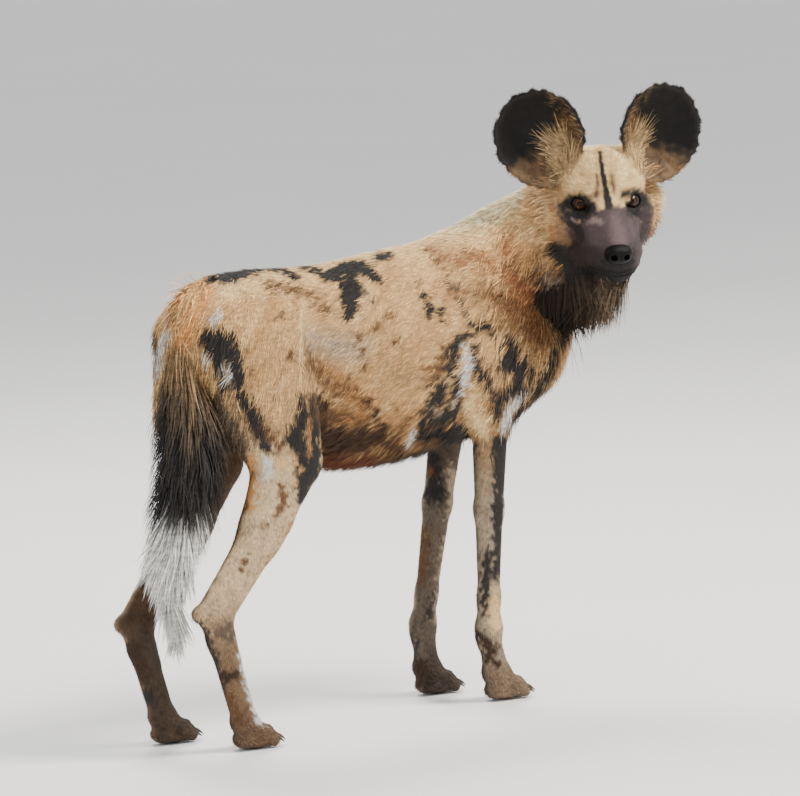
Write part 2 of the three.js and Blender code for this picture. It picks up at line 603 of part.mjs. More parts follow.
// The ruff hangs from the throat in rows of locks.
const RUFF_ROWS = 5;
const RUFF_LOCKS = 7;
const RUFF_LENGTH = 76;
const RUFF_TURN = 1.45; // how far round the throat from straight down the outer locks grow
function ruffLocks() {
  const ahead = THROAT[1].clone().sub(THROAT[0]).normalize();
  const across = UP.clone().cross(ahead).normalize();
  const down = ahead.clone().cross(across).negate();
  const locks = [];
  for (let row = 0; row < RUFF_ROWS; row++) {
    const along = row / (RUFF_ROWS - 1);
    for (let i = 0; i < RUFF_LOCKS; i++) {
      const place = (i + (row % 2) / 2 - (RUFF_LOCKS - 0.5) / 2) / (RUFF_LOCKS / 2) + draw(-0.05, 0.05);
      const from = mid(THROAT[0], THROAT[1], THREE.MathUtils.lerp(-0.35, 1.15, along));
      const out = down.clone().multiplyScalar(Math.cos(place * RUFF_TURN))
        .addScaledVector(across, Math.sin(place * RUFF_TURN))
        .addScaledVector(ahead, 0.7 * Math.max(along - 0.6, 0))
        .normalize();
      const skin = from.clone().addScaledVector(out, rayLength(neckField, from, out));
      const length = RUFF_LENGTH * (1 - 0.4 * Math.abs(place)) * draw(0.88, 1.08);
      const lie = out.clone().multiplyScalar(0.3).addScaledVector(ahead, 0.1).sub(UP).normalize();
      const root = skin.clone().addScaledVector(out, -9).addScaledVector(lie, -6);
      const bend = skin.clone().addScaledVector(out, 10).addScaledVector(lie, length * 0.4);
      locks.push(lock(root, bend, skin.clone().addScaledVector(lie, length), out, draw(33, 38)));
    }
  }
  return locks;
}

// The cheeks end in a fringe of short locks that point back and down.
const FRINGE_LOCKS = 5;
const FRINGE_LENGTH = 26;
function fringeLocks(s, offset) {
  return Array.from({ length: FRINGE_LOCKS }, (_, i) => {
    const t = i / (FRINGE_LOCKS - 1);
    const angle = THREE.MathUtils.lerp(0.25, -0.95, t);
    const from = H(THREE.MathUtils.lerp(-66, -46, t), 0, -14);
    const out = HD(-0.1, s * Math.cos(angle), Math.sin(angle));
    const skin = from.clone().addScaledVector(out, rayLength(headField, from, out));
    const lie = HD(-0.35, s * 0.55, -0.75);
    const length = FRINGE_LENGTH * (0.85 + 0.3 * Math.sin(i * 2.4));
    const root = skin.clone().addScaledVector(out, -7).addScaledVector(lie, -5);
    const bend = skin.clone().addScaledVector(out, 4).addScaledVector(lie, length * 0.4);
    return lock(root, bend, skin.clone().addScaledVector(lie, length), out, 17, offset);
  });
}
const fringe = (offset) => wasm.Manifold.union([-1, 1].flatMap((s) => fringeLocks(s, offset)));

const torsoCut = grown(torsoSkin);
const headCut = grown(headSkin);
const neckWithRuff = wasm.Manifold.union([neckSkin, ...ruffLocks()]);
addNode('torso', torsoSkin, 'coat');
addNode('neck', neckWithRuff.subtract(torsoCut).subtract(headCut).subtract(fringe(GAP * 2)), 'coat');
addNode('tail', wasm.Manifold.union([tailSkin, ...tailLocks()]).subtract(torsoCut), 'dark_coat');
let head = headSkin.add(fringe(0).subtract(grown(neckSkin)));
head = head.add(lipTube(3.8, 2, 3.6)).add(lipTube(-3.6, 2, 3.2)).subtract(lipTube(0, 0, 1.6));
head = head.subtract(nosePad(GAP));
for (const [name, s] of [['right', -1], ['left', 1]]) {
  head = head.subtract(eyeOpening(s)).add(lids(s)).subtract(eyeBall(s, GAP));
  addNode('eye_' + name, eyeBall(s, 0), 'eye');
  addNode('ear_' + name, earShell(s).subtract(headCut), 'coat');
}
addNode('head', head, 'coat');
const nostrils = [-1, 1].flatMap((s) => [nostril(s), nostrilSlit(s)]);
addNode('nose', nosePad(0).subtract(wasm.Manifold.union(nostrils)), 'nose');
for (const [name, leg] of Object.entries(LEGS)) {
  const [field, spine] = leg.fore ? [foreLegField(leg), foreSpine(leg)] : [hindLegField(leg), hindSpine(leg)];
  const toes = TOES.map((place) => toe(leg.ball, place));
  const skin = wasm.Manifold.union([fieldSkin(field, spine, 12).subtract(torsoCut), palm(leg.ball), ...toes]);
  addNode('leg_' + name, skin.trimByPlane([0, 0, 1], 0), 'coat');
  const toesCut = wasm.Manifold.union(toes.map(grown));
  TOES.forEach((place, i) => addNode(`claw_${name}_${i + 1}`, claw(leg.ball, place).subtract(toesCut), 'claw'));
}

// The part's origin is the middle of its bounding box at floor level.
const box = new THREE.Box3().setFromObject(group);
const middle = box.getCenter(v(0, 0, 0));
group.position.set(-middle.x, -middle.y, -box.min.z);

export default group;
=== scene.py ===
"""A life-size model of an African wild dog that stands and looks back over its right shoulder.

Sizes are millimetres in the dog's own design frame: X ahead along the trunk, Y to its left, Z up, with the
origin on the floor below the hips. place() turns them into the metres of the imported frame.
"""

import math
from functools import partial
from itertools import product

import bpy
import numpy as np
from mathutils import Matrix, Vector


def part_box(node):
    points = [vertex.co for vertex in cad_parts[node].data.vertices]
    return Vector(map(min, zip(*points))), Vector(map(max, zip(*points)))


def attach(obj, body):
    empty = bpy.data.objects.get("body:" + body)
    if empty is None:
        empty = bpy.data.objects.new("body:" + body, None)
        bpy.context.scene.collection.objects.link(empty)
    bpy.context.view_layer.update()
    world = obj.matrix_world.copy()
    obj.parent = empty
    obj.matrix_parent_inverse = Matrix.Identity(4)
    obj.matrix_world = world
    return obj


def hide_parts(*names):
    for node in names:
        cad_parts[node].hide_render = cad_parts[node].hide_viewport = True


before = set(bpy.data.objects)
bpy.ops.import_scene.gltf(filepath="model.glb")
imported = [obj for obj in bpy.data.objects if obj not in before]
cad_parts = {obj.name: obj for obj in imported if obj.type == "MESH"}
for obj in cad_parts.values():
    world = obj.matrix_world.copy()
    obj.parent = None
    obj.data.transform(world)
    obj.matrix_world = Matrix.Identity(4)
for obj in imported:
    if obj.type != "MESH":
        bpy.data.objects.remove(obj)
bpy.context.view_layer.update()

MM = 0.001
FAR = 1e3
# How far beyond its own box an item still shapes the skin.
REACH = 30
SIDE = np.array([0.0, 1.0, 0.0])
UP = np.array([0.0, 0.0, 1.0])
rng = np.random.default_rng(7)

# Driving dimensions, the same as the solids have.
BACK_HEIGHT = 660
CHEST_FLOOR = 366
LEG_SPREAD = 66
EYE_RADIUS = 11.5
EYE_HALF_SPACING = 38
EYE_OUTWARD = 20
LID_HALF_WIDTH = 14
LID_HALF_HEIGHT = 7.4
LID_DROP = 1.6
LID_SLANT = 0.12
LID_SPREAD = 0.85
# How far the eyes sit below the line of the head's origin.
EYE_DROP = 4
# How far the hair on the lids narrows the opening.
LID_COAT = 1.5
NOSE_SIZE = (34, 40, 29)
NOSE_AT = (84, 0, -56)
NOSE_ROUNDNESS = 2.25
# The line of the mouth, ahead of and below the head's origin, and how far its corners rise or fall.
MOUTH_CORNER = 8
MOUTH_FRONT = 56
MOUTH_LEVEL = -89
MOUTH_CURVE = 9
EAR_HEIGHT = 138
EAR_WIDTH = 125
EAR_DEPTH = 34
EAR_SKIN = 2.1
EAR_OUTWARD = 17
EAR_LEAN = 15
CLAW_LENGTH = 17
PALM_HALF_WIDTH = 25
TAIL_CORE = 19
SOLE_LEVEL = 0.6

# How deep the skin lies under the short coat of each part.
COAT_DEPTH = {"torso": 5, "neck": 4, "head": 2.5, "leg": 3.2, "tail": 1, "ear": 0}


def point(*xyz):
    return np.array(xyz, float)


def unit(a):
    a = np.asarray(a, float)
    return a / np.maximum(np.linalg.norm(a, axis=-1, keepdims=True), 1e-9)


def mid(a, b, t):
    return a + (b - a) * t


def smoothstep(x, low, high):
    t = np.clip((x - low) / (high - low), 0, 1)
    return t * t * (3 - 2 * t)


def smooth_min(d, e, k):
    h = np.maximum(k - np.abs(d - e), 0) / k
    return np.minimum(d, e) - h * h * k * 0.25


def smooth_max(d, e, k):
    return -smooth_min(-d, -e, k)


# The head's frame: its origin lies midway between the eyes, x towards the nose and y to its left.
HEAD_AT = point(615, -168, 709)
HEAD_YAW, HEAD_PITCH, HEAD_ROLL = -119.5, 11, -1
HEAD_TURN = np.array(
    Matrix.Rotation(math.radians(HEAD_YAW), 3, "Z")
    @ Matrix.Rotation(math.radians(HEAD_PITCH), 3, "Y")
    @ Matrix.Rotation(math.radians(HEAD_ROLL), 3, "X")
)


def head_point(x, y, z):
    return HEAD_AT + HEAD_TURN @ point(x, y, z)


def head_way(x, y, z):
    return unit(HEAD_TURN @ point(x, y, z))


def in_head(p):
    return (p - HEAD_AT) @ HEAD_TURN


eye_low, eye_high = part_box("eye_right")
OFFSET = np.array((eye_low + eye_high) / 2) - head_point(0, -EYE_HALF_SPACING, 0) * MM


def place(p):
    return np.asarray(p) * MM + OFFSET


class Rod:
    """A tapered rod from a to b. Its half width along the side direction is wa to wb."""

    def __init__(self, a, b, ra, rb, blend=10.0, side=SIDE, wa=None, wb=None):
        self.a, self.b, self.ra, self.rb, self.blend, self.side = a, b, ra, rb, blend, side
        self.fa, self.fb = (wa or ra) / ra, (wb or rb) / rb
        reach = max(ra, rb, wa or 0, wb or 0)
        self.low, self.high = np.minimum(a, b) - reach, np.maximum(a, b) + reach

    def distance(self, p):
        ab = (self.b - self.a).astype(p.dtype)
        q = p - self.a.astype(p.dtype)
        t = np.clip(q @ ab / max(ab @ ab, 1e-9), 0, 1)
        q = q - t[..., None] * ab
        r = self.ra + (self.rb - self.ra) * t
        f = self.fa + (self.fb - self.fa) * t
        s = q @ self.side.astype(p.dtype)
        across = np.maximum((q * q).sum(-1) - s * s, 0)
        n = np.sqrt(across + s * s / f**2) + 1e-9
        slope = np.sqrt(across + s * s / f**4) / n
        return (n - r) / np.maximum(slope, 1e-6)


class Chain:
    """Rods that join without a bulge."""

    def __init__(self, links, blend):
        self.links, self.blend = links, blend
        self.low = np.min([link.low for link in links], 0)
        self.high = np.max([link.high for link in links], 0)

    def distance(self, p):
        d = np.full(p.shape[:-1], FAR, p.dtype)
        for link in self.links:
            near = reached(link, p)
            d[near] = np.minimum(d[near], link.distance(p[near]))
        return d


def reached(item, p):
    """The points that lie close enough to an item for it to matter there."""
    return ((p > item.low - REACH) & (p < item.high + REACH)).all(-1)


def curve_points(points, steps):
    """A centripetal Catmull-Rom curve through points, steps to each stretch."""
    points = [np.asarray(p, float) for p in points]
    ends = [2 * points[0] - points[1], *points, 2 * points[-1] - points[-2]]
    out = []
    for i in range(len(points) - 1):
        p0, p1, p2, p3 = ends[i : i + 4]
        d0, d1, d2 = (max(np.linalg.norm(b - a), 1e-6) ** 0.5 for a, b in ((p0, p1), (p1, p2), (p2, p3)))
        m1 = ((p1 - p0) / d0 - (p2 - p0) / (d0 + d1) + (p2 - p1) / d1) * d1
        m2 = ((p2 - p1) / d1 - (p3 - p1) / (d1 + d2) + (p3 - p2) / d2) * d1
        square, cube = -3 * p1 + 3 * p2 - 2 * m1 - m2, 2 * p1 - 2 * p2 + m1 + m2
        out += [p1 + m1 * t + square * t**2 + cube * t**3 for t in np.arange(steps) / steps]
    return [*out, points[-1]]


def smooth_numbers(values, steps):
    """A uniform Catmull-Rom curve through numbers."""
    last = len(values) - 1
    out = []
    for i in range(last * steps + 1):
        k = min(i // steps, last - 1)
        t = i / steps - k
        p0, p1, p2, p3 = (values[min(max(n, 0), last)] for n in (k - 1, k, k + 1, k + 2))
        square, cube = 2 * p0 - 5 * p1 + 4 * p2 - p3, 3 * p1 - p0 - 3 * p2 + p3
        out.append(0.5 * (2 * p1 + (p2 - p0) * t + square * t**2 + cube * t**3))
    return out


def smooth_chain(stations, blend, side=None, steps=4):
    """A chain through stations of centre, half depth and half width."""
    centres = curve_points([s[0] for s in stations], steps)
    depth = smooth_numbers([s[1] for s in stations], steps)
    width = smooth_numbers([s[2] for s in stations], steps)
    links = []
    for i in range(len(centres) - 1):
        a, b = centres[i], centres[i + 1]
        across = unit(np.cross(UP, b - a)) if side is None else side
        links.append(Rod(a, b, depth[i], depth[i + 1], blend, across, width[i], width[i + 1]))
    return Chain(links, blend)


# Trunk stations from rump to breast: distance ahead, top, bottom and half width.
TRUNK = [
    (-26, 616, 540, 30),
    (0, 642, 524, 48),
    (36, 659, 486, 66),
    (90, BACK_HEIGHT + 1, 438, 74),
    (165, BACK_HEIGHT - 4, 384, 76),
    (240, BACK_HEIGHT - 4, 356, 88),
    (330, BACK_HEIGHT + 2, 354, 94),
    (420, BACK_HEIGHT + 8, CHEST_FLOOR, 86),
    (495, BACK_HEIGHT + 16, CHEST_FLOOR + 12, 76),
    (558, BACK_HEIGHT - 14, CHEST_FLOOR + 40, 64),
    (600, BACK_HEIGHT - 80, CHEST_FLOOR + 76, 48),
]
# Neck stations from the shoulders to the nape: centre, half depth and half width.
NECK = [
    (point(486, 0, 572), 102, 72),
    (point(548, -8, 612), 89, 68),
    (point(602, -28, 646), 78, 64),
    (point(640, -64, 676), 70, 62),
    (point(652, -104, 694), 60, 58),
]
THROAT = (point(596, -40, 596), point(644, -116, 612))
# Tail stations, hanging: centre, half thickness of the core and half thickness out to the tips of the coat.
TAIL = [
    (point(26, 0, 630), 22, 24),
    (point(-12, 0, 622), 20, 26),
    (point(-36, -3, 582), TAIL_CORE - 1, 32),
    (point(-36, -8, 520), TAIL_CORE, 40),
    (point(-38, -10, 440), TAIL_CORE + 1, 50),
    (point(-54, -10, 355), TAIL_CORE + 1, 48),
    (point(-76, -8, 280), TAIL_CORE - 3, 40),
    (point(-82, -6, 224), 9, 30),
    (point(-78, -4, 168), 4, 12),
]
# Leg joints. The left legs stand a little further back than the right ones.
FORE = {
    "fore_right": dict(
        side=-1, blade=point(452, -50, 606), shoulder=point(560, -54, 488), elbow=point(468, -60, 400),
        wrist=point(446, -62, 106), ball=point(458, -LEG_SPREAD + 4, 40),
    ),
    "fore_left": dict(
        side=1, blade=point(452, 50, 606), shoulder=point(562, 54, 488), elbow=point(492, 58, 400),
        wrist=point(426, 60, 104), ball=point(433, LEG_SPREAD - 4, 40),
    ),
}
HIND = {
    "hind_right": dict(
        side=-1, hip=point(66, -42, 560), knee=point(104, -64, 384), hock=point(-52, -68, 190),
        heel=point(-82, -68, 199), ball=point(-12, -LEG_SPREAD - 2, 40),
    ),
    "hind_left": dict(
        side=1, hip=point(60, 42, 560), knee=point(66, 64, 380), hock=point(-86, 68, 170),
        heel=point(-113, 68, 178), ball=point(-50, LEG_SPREAD + 2, 40),
    ),
}
LEGS = {**FORE, **HIND}
LEG_NAMES = list(LEGS)
# The four toes of a paw: offset across the paw and how far the toe's tip lies ahead of the ball.
TOES = [(-21, 42), (-7.5, 55), (7.5, 55), (21, 42)]


def shoulder_rods(blade, shoulder, elbow, **_):
    return [
        Rod(blade, shoulder, 46, 42, 44, SIDE, 26, 26),
        Rod(shoulder, elbow + (10, 0, 22), 44, 42, 36, SIDE, 30, 27),
        Rod(elbow + (-26, 0, 78), elbow + (-14, 0, 16), 38, 24, 34, SIDE, 22, 20),
    ]


def haunch_rods(side, hip, knee, **_):
    return [
        Rod(hip, knee + (-18, -side * 4, 66), 74, 60, 20, SIDE, 45, 38),
        Rod(hip + (-58, side * 8, 10), knee + (-78, -side * 12, 84), 40, 36, 40, SIDE, 30, 28),
        Rod(hip + (36, side * 6, -50), knee + (6, -side * 4, 40), 38, 34, 20, SIDE, 34, 32),
    ]


# The fold of skin that runs up from the right knee to the flank.
STIFLE_FOLD = [
    Rod(point(130, -56, 606), point(106, -79, 520), 9, 11, 5),
    Rod(point(106, -79, 520), point(104, -86, 430), 11, 12, 5),
]


def foreleg_rods(shoulder, elbow, wrist, ball, **_):
    low, high = mid(elbow, wrist, 0.42), mid(elbow, wrist, 0.86)
    return [
        Rod(mid(shoulder, elbow, 0.6), elbow + (6, 0, 6), 36, 36, 20, SIDE, 20, 24),
        Rod(elbow + (-22, 0, 40), elbow + (-20, 0, 2), 28, 17, 20, SIDE, 18, 16),
        Rod(elbow + (2, 0, 4), low, 32, 25, 14, SIDE, 25, 20),
        Rod(low, high, 25, 19, 12, SIDE, 20, 17),
        Rod(mid(elbow, wrist, 0.84), wrist, 19, 22, 10, SIDE, 17, 20),
        Rod(wrist, wrist + (-2, 0, -18), 22, 19, 10, SIDE, 20, 18),
        Rod(wrist + (-19, 0, -6), wrist + (-20, 0, -12), 8, 8, 6),
        Rod(wrist + (0, 0, -16), ball + (-2, 0, 4), 19, 20, 10, SIDE, 18, 23),
        Rod(ball + (-2, 0, 2), ball + (2, 0, -16), 20, 17, 8, SIDE, 23, 22),
    ]


def hindleg_rods(side, hip, knee, hock, heel, ball):
    def shin(t):
        return mid(knee, hock, t)

    return [
        Rod(mid(hip, knee, 0.4), knee + (-12, 0, 34), 58, 52, 20, SIDE, 22, 28),
        Rod(hip + (-40, 0, -70), knee + (-58, -side * 4, 36), 30, 36, 24, SIDE, 20, 25),
        Rod(knee + (14, 0, 60), knee + (8, 0, 8), 28, 32, 20, SIDE, 18, 26),
        Rod(knee + (2, 0, 0), shin(0.42), 40, 38, 16, SIDE, 28, 24),
        Rod(knee + (-46, 0, 4), shin(0.52), 30, 28, 18, SIDE, 24, 20),
        Rod(shin(0.36) + (6, 0, 3), shin(0.95) + (5, 0, 4), 37, 24, 14, SIDE, 23, 17),
        Rod(shin(0.45) + (-22, 0, 2), heel, 14, 11, 12, SIDE, 11, 12),
        Rod(heel, hock, 14, 23, 10, SIDE, 14, 19),
        Rod(hock, hock + (4, 0, -30), 25, 23, 10, SIDE, 20, 18),
        Rod(mid(heel, hock, 0.5), mid(hock, ball, 0.4), 17, 18, 10, SIDE, 15, 15),
        Rod(hock + (4, 0, -28), ball + (-3, 0, 4), 23, 20, 10, SIDE, 18, 21),
        Rod(ball + (-3, 0, 2), ball + (1, 0, -16), 20, 17, 8, SIDE, 21, 21),
    ]


def palm_rods(ball):
    w = PALM_HALF_WIDTH
    return [
        Rod(ball + (-2, 0, -2), ball + (16, 0, -12), 19, 15, 10, SIDE, w - 2, w),
        Rod(ball + (-6, 0, -26), ball + (12, 0, -28), 15.5, 15.5, 8, SIDE, w - 3, w - 1),
        Rod(ball + (12, 0, -28), ball + (32, 0, -31), 14, 11, 6, SIDE, w, w - 3),
    ]


def toe_chains(ball):
    chains = []
    for across, ahead in TOES:
        knuckle, tip = ball + (ahead - 25, across, -17), ball + (ahead - 10, across, -31)
        root_bone = Rod(ball + (6, across * 0.7, -8), knuckle, 12, 12.5, 4, SIDE, 9, 10)
        chains.append(Chain([root_bone, Rod(knuckle, tip, 12.5, 10.8, 4, SIDE, 10, 9.2)], 3))
    return chains


HEAD_SIDE = head_way(0, 1, 0)
MUZZLE = [((0, 0, -30), 38, 48), ((30, 0, -53), 38, 45), ((52, 0, -62), 36, 41), ((63, 0, -65), 30, 36)]


def head_rod(a, b, ra, rb, blend=12, wa=None, wb=None):
    return Rod(head_point(*a), head_point(*b), ra, rb, blend, HEAD_SIDE, wa, wb)


def skull_rods():
    """Skull, brows, cheeks, jaw, muzzle and the roots of the ears."""
    rods = [
        head_rod((-86, 0, 2), (-36, 0, 12), 54, 54, 20, 56, 60),
        head_rod((-28, 0, 28), (-10, 0, 8), 40, 28, 20, 46, 40),
        smooth_chain([(head_point(*c), r, w) for c, r, w in MUZZLE], 18, HEAD_SIDE),
        head_rod((0, 0, -4), (78, 0, -46), 16, 12, 14, 20, 17),
        head_rod((-44, 0, -72), (62, 0, -93), 26, 15, 16, 48, 26),
    ]
    for s in (-1, 1):
        rods += [
            head_rod((-1, s * 20, 21), (-12, s * 47, 18), 11, 13, 14),
            head_rod((-14, s * 50, -20), (-62, s * 60, -20), 22, 31, 20),
            head_rod((-34, s * 48, -46), (-62, s * 52, -50), 32, 34, 22),
            head_rod((58, s * 20, -73), (8, s * 37, -78), 15, 18, 12),
            head_rod((-74, s * 36, 30), (-92, s * 60, 40), 26, 18, 22),
        ]
    return rods


def field(items, p):
    """Distance from points to the skin of blended items."""
    d = np.full(p.shape[:-1], FAR)
    for item in items:
        near = reached(item, p)
        d[near] = smooth_min(d[near], item.distance(p[near]), item.blend)
    return d


def ray_reach(items, start, way, limit=120):
    """How far a ray from inside the items runs before it leaves them."""
    steps = np.arange(0, limit, 1.0)
    outside = field(items, start + way * steps[:, None]) > 0
    reach = steps[np.argmax(outside)]
    for half in (0.5, 0.25, 0.125):
        reach += half if field(items, (start + way * (reach - half))[None])[0] < 0 else -half
    return reach


SKULL = skull_rods()
MOUTH_STEPS = 13


def mouth_line(lift, inset):
    """The line of the mouth round the muzzle, moved up by lift and in by inset."""
    line = []
    for i in range(MOUTH_STEPS + 1):
        angle = math.pi * (i / MOUTH_STEPS - 0.5)
        ahead = MOUTH_CORNER
        if 0 < i < MOUTH_STEPS:
            ahead += (MOUTH_FRONT - MOUTH_CORNER) * math.cos(angle) ** 0.6
        start = head_point(ahead, 0, MOUTH_LEVEL + MOUTH_CURVE * (1 - math.cos(angle)) + lift)
        way = head_way(math.cos(angle), math.sin(angle), 0)
        line.append(start + way * (ray_reach(SKULL, start, way) - inset))
    return line


def lip(lift, inset, radius, blend):
    line = mouth_line(lift, inset)
    last = len(line) - 1
    sizes = [radius * min(1, 0.3 + 6 * min(i / last, 1 - i / last)) for i in range(last + 1)]
    return Chain([Rod(line[i], line[i + 1], sizes[i], sizes[i + 1]) for i in range(last)], blend)


class Ear:
    """A round cup of thin skin. Across and up run over its face, which looks ahead and out."""

    outward, lean = (math.tan(math.radians(turn)) for turn in (EAR_OUTWARD, EAR_LEAN))

    def __init__(self, s, blend):
        face = unit((1, s * self.outward, 0.12))
        up = point(-0.1, s * self.lean, 1)
        up = unit(up - face * (up @ face))
        across = point(0, s, 0)
        across = unit(across - face * (across @ face) - up * (across @ up))
        self.axes = (HEAD_TURN @ np.stack([across, up, face], 1)).T
        self.centre = head_point(-40, s * 88, 82)
        self.blend, self.s = blend, s
        self.low, self.high = self.centre - EAR_HEIGHT * 0.62, self.centre + EAR_HEIGHT * 0.62

    def local(self, p):
        return np.moveaxis((p - self.centre) @ self.axes.T, -1, 0)

    def reach(self, a, b):
        """0 in the middle of the ear, 1 on its rim."""
        turn = np.arctan2(a, b)
        notch = 1 + 0.012 * np.sin(9 * turn + 1) + 0.01 * np.sin(17 * turn) + 0.008 * np.sin(29 * turn + 2)
        a, b = a * notch, b * notch
        high = b / (EAR_HEIGHT / 2)
        rho = np.hypot(a / (EAR_WIDTH / 2), high) + 1e-6
        for _ in range(2):
            narrow = 1 - 0.16 * np.maximum(-high / rho, 0) ** 1.5
            rho = np.hypot(a / (EAR_WIDTH / 2 * narrow), high) + 1e-6
        return rho

    def cup(self, a, b):
        low = np.maximum(-b / EAR_HEIGHT, 0)
        return -EAR_DEPTH * (1 - np.minimum(self.reach(a, b), 1) ** 2.2) * (1 + low)

    def distance(self, p):
        a, b, c = self.local(p)
        rho = self.reach(a, b)
        beyond = np.maximum(np.hypot(a, b) * (1 - 1 / rho), 0)
        sheet = self.cup(a, b)
        slope = np.hypot(self.cup(a + 1, b) - sheet, self.cup(a, b + 1) - sheet)
        return np.hypot(beyond, (c - sheet) / np.sqrt(1 + slope**2)) - EAR_SKIN


EARS = {"ear_right": Ear(-1, 7), "ear_left": Ear(1, 7)}
EYES = {"right": -1, "left": 1}


def eye_centre(s):
    return head_point(-0.5, s * EYE_HALF_SPACING, -EYE_DROP)


def eye_opening(s, p):
    """Distance to the hollow that shows the eye between its lids, and to the hollow for the eyeball."""
    q = (p - eye_centre(s)) @ HEAD_TURN
    r = np.linalg.norm(q, axis=-1)
    q[..., 2] += LID_DROP
    turn = np.arctan2(s * q[..., 1], q[..., 0])
    across = (turn - math.radians(EYE_OUTWARD)) / LID_SPREAD * EYE_RADIUS / LID_HALF_WIDTH
    slant = across * LID_HALF_WIDTH / EYE_RADIUS * LID_SLANT
    rise = np.arcsin(np.clip(q[..., 2] / (r + 1e-6), -1, 1)) - slant
    opening = LID_HALF_HEIGHT - LID_COAT
    high = rise * EYE_RADIUS / (opening * np.maximum(1 - 0.35 * np.abs(across), 0.2))
    almond = (np.hypot(across, high) - 1) * opening
    return np.minimum(r - EYE_RADIUS - 0.6, np.maximum(almond, r - EYE_RADIUS * 2))


def nose_shape(p, offset=0):
    """The nose pad is a rounded block, a little flat in front."""
    q = in_head(p) - NOSE_AT
    half = np.array(NOSE_SIZE) / 2 + offset
    n = (np.abs(q / half) ** NOSE_ROUNDNESS).sum(-1) ** (1 / NOSE_ROUNDNESS)
    return (n - 1) * half.min()


def leg_items(name):
    leg = LEGS[name]
    rods = foreleg_rods(**leg) if name in FORE else hindleg_rods(**leg)
    return [*rods, *palm_rods(leg["ball"]), *toe_chains(leg["ball"])]


TRUNK_CHAIN = smooth_chain([(point(x, 0, (t + b) / 2), (t - b) / 2, w) for x, t, b, w in TRUNK], 20, SIDE)
FORM = {
    "torso": [
        TRUNK_CHAIN,
        *(rod for leg in FORE.values() for rod in shoulder_rods(**leg)),
        *(rod for leg in HIND.values() for rod in haunch_rods(**leg)),
        *STIFLE_FOLD,
    ],
    "neck": [
        smooth_chain(NECK, 20),
        Rod(*THROAT, 38, 40, 40, point(0.5, -0.866, 0), 34, 38),
    ],
    "tail": [smooth_chain([(c, core, core) for c, core, _ in TAIL], 8, SIDE)],
    "head": [*SKULL, lip(3.8, 2, 3.6, 3), lip(-3.6, 2, 3.2, 3)],
    **{name: [ear] for name, ear in EARS.items()},
    **{name: leg_items(name) for name in LEG_NAMES},
}
PARTS = list(FORM)
JOIN = {"torso": 10, "neck": 14, "tail": 12, "head": 26, "ear_right": 9, "ear_left": 9}
LEG_JOIN = 8
MOUTH_GROOVE = lip(0, 0, 1.7, 1)
# Points farther than this from the head's origin lie off the face.
FACE_REACH = 190
# The depth of the grid's shell, outside the skin, where fine forms are cut.
SHELL = 12


def part_depth(part):
    return COAT_DEPTH.get(part, COAT_DEPTH["ear" if part.startswith("ear") else "leg"])


def carve(d, p):
    """Cuts the mouth, the eyes, the seat of the nose and the soles' level out of the skin."""
    d = np.maximum(d, SOLE_LEVEL - p[..., 2])
    near = np.flatnonzero(np.linalg.norm(p - HEAD_AT, axis=-1) < FACE_REACH)
    if near.size:
        q = p[near]
        e = smooth_max(d[near], -MOUTH_GROOVE.distance(q), 1.5)
        for s in EYES.values():
            e = smooth_max(e, -eye_opening(s, q), 1.5)
        d[near] = smooth_max(e, -nose_shape(q, -1.5), 1)
    return d


def body_distance(p, parts=False):
    """Distance from points to the skin, and to each part of it where parts is true."""
    d = np.full(len(p), FAR)
    apart = np.full((len(PARTS), len(p)), FAR)
    for i, part in enumerate(PARTS):
        apart[i] = field(FORM[part], p) + part_depth(part)
        d = smooth_min(d, apart[i], JOIN.get(part, LEG_JOIN))
    d = carve(d, p)
    return (d, apart) if parts else d


def axis(*stretches):
    """Grid lines from stretches of start, end and spacing."""
    return np.concatenate([np.arange(a, b, h) for a, b, h in stretches])


GRID = (
    axis((-140, 528, 4.4), (528, 790, 2.2)),
    axis((-305, -92, 2.2), (-92, -30, 3.2), (-30, 30, 4.8), (30, 110, 3.2)),
    axis((-4, 56, 2.4), (56, 572, 4.8), (572, 880, 2.2)),
)


def grid_window(low, high):
    """The part of the grid that forms between two corners can touch."""
    ends = zip(GRID, low - REACH, high + REACH)
    return tuple(slice(*np.searchsorted(a, pair)) for a, *pair in ends)


def grid_nodes(window):
    lines = (a[s].astype(np.float32) for a, s in zip(GRID, window))
    return np.stack(np.meshgrid(*lines, indexing="ij"), -1)


def grid_part(part, shape):
    """One part's field on the grid. Each rod only touches the window that it reaches."""
    own = np.full(shape, FAR, np.float32)
    for item in FORM[part]:
        window = grid_window(item.low, item.high)
        if not isinstance(item, Chain):
            own[window] = smooth_min(own[window], item.distance(grid_nodes(window)), item.blend)
            continue
        chain = np.full(shape, FAR, np.float32)
        for link in item.links:
            box = grid_window(link.low, link.high)
            chain[box] = np.minimum(chain[box], link.distance(grid_nodes(box)))
        own[window] = smooth_min(own[window], chain[window], item.blend)
    return own


def grid_distance():
    """The skin's field on the grid."""
    shape = tuple(len(a) for a in GRID)
    d = np.full(shape, FAR, np.float32)
    for part in PARTS:
        low = np.min([item.low for item in FORM[part]], 0)
        high = np.max([item.high for item in FORM[part]], 0)
        box = grid_window(low, high)
        own = grid_part(part, shape)[box]
        d[box] = smooth_min(d[box], own + part_depth(part), JOIN.get(part, LEG_JOIN))
    for x in range(shape[0]):
        row = grid_nodes((slice(x, x + 1), slice(None), slice(None)))[0]
        near = d[x] < SHELL
        d[x][near] = carve(d[x][near].astype(float), row[near])
    return d


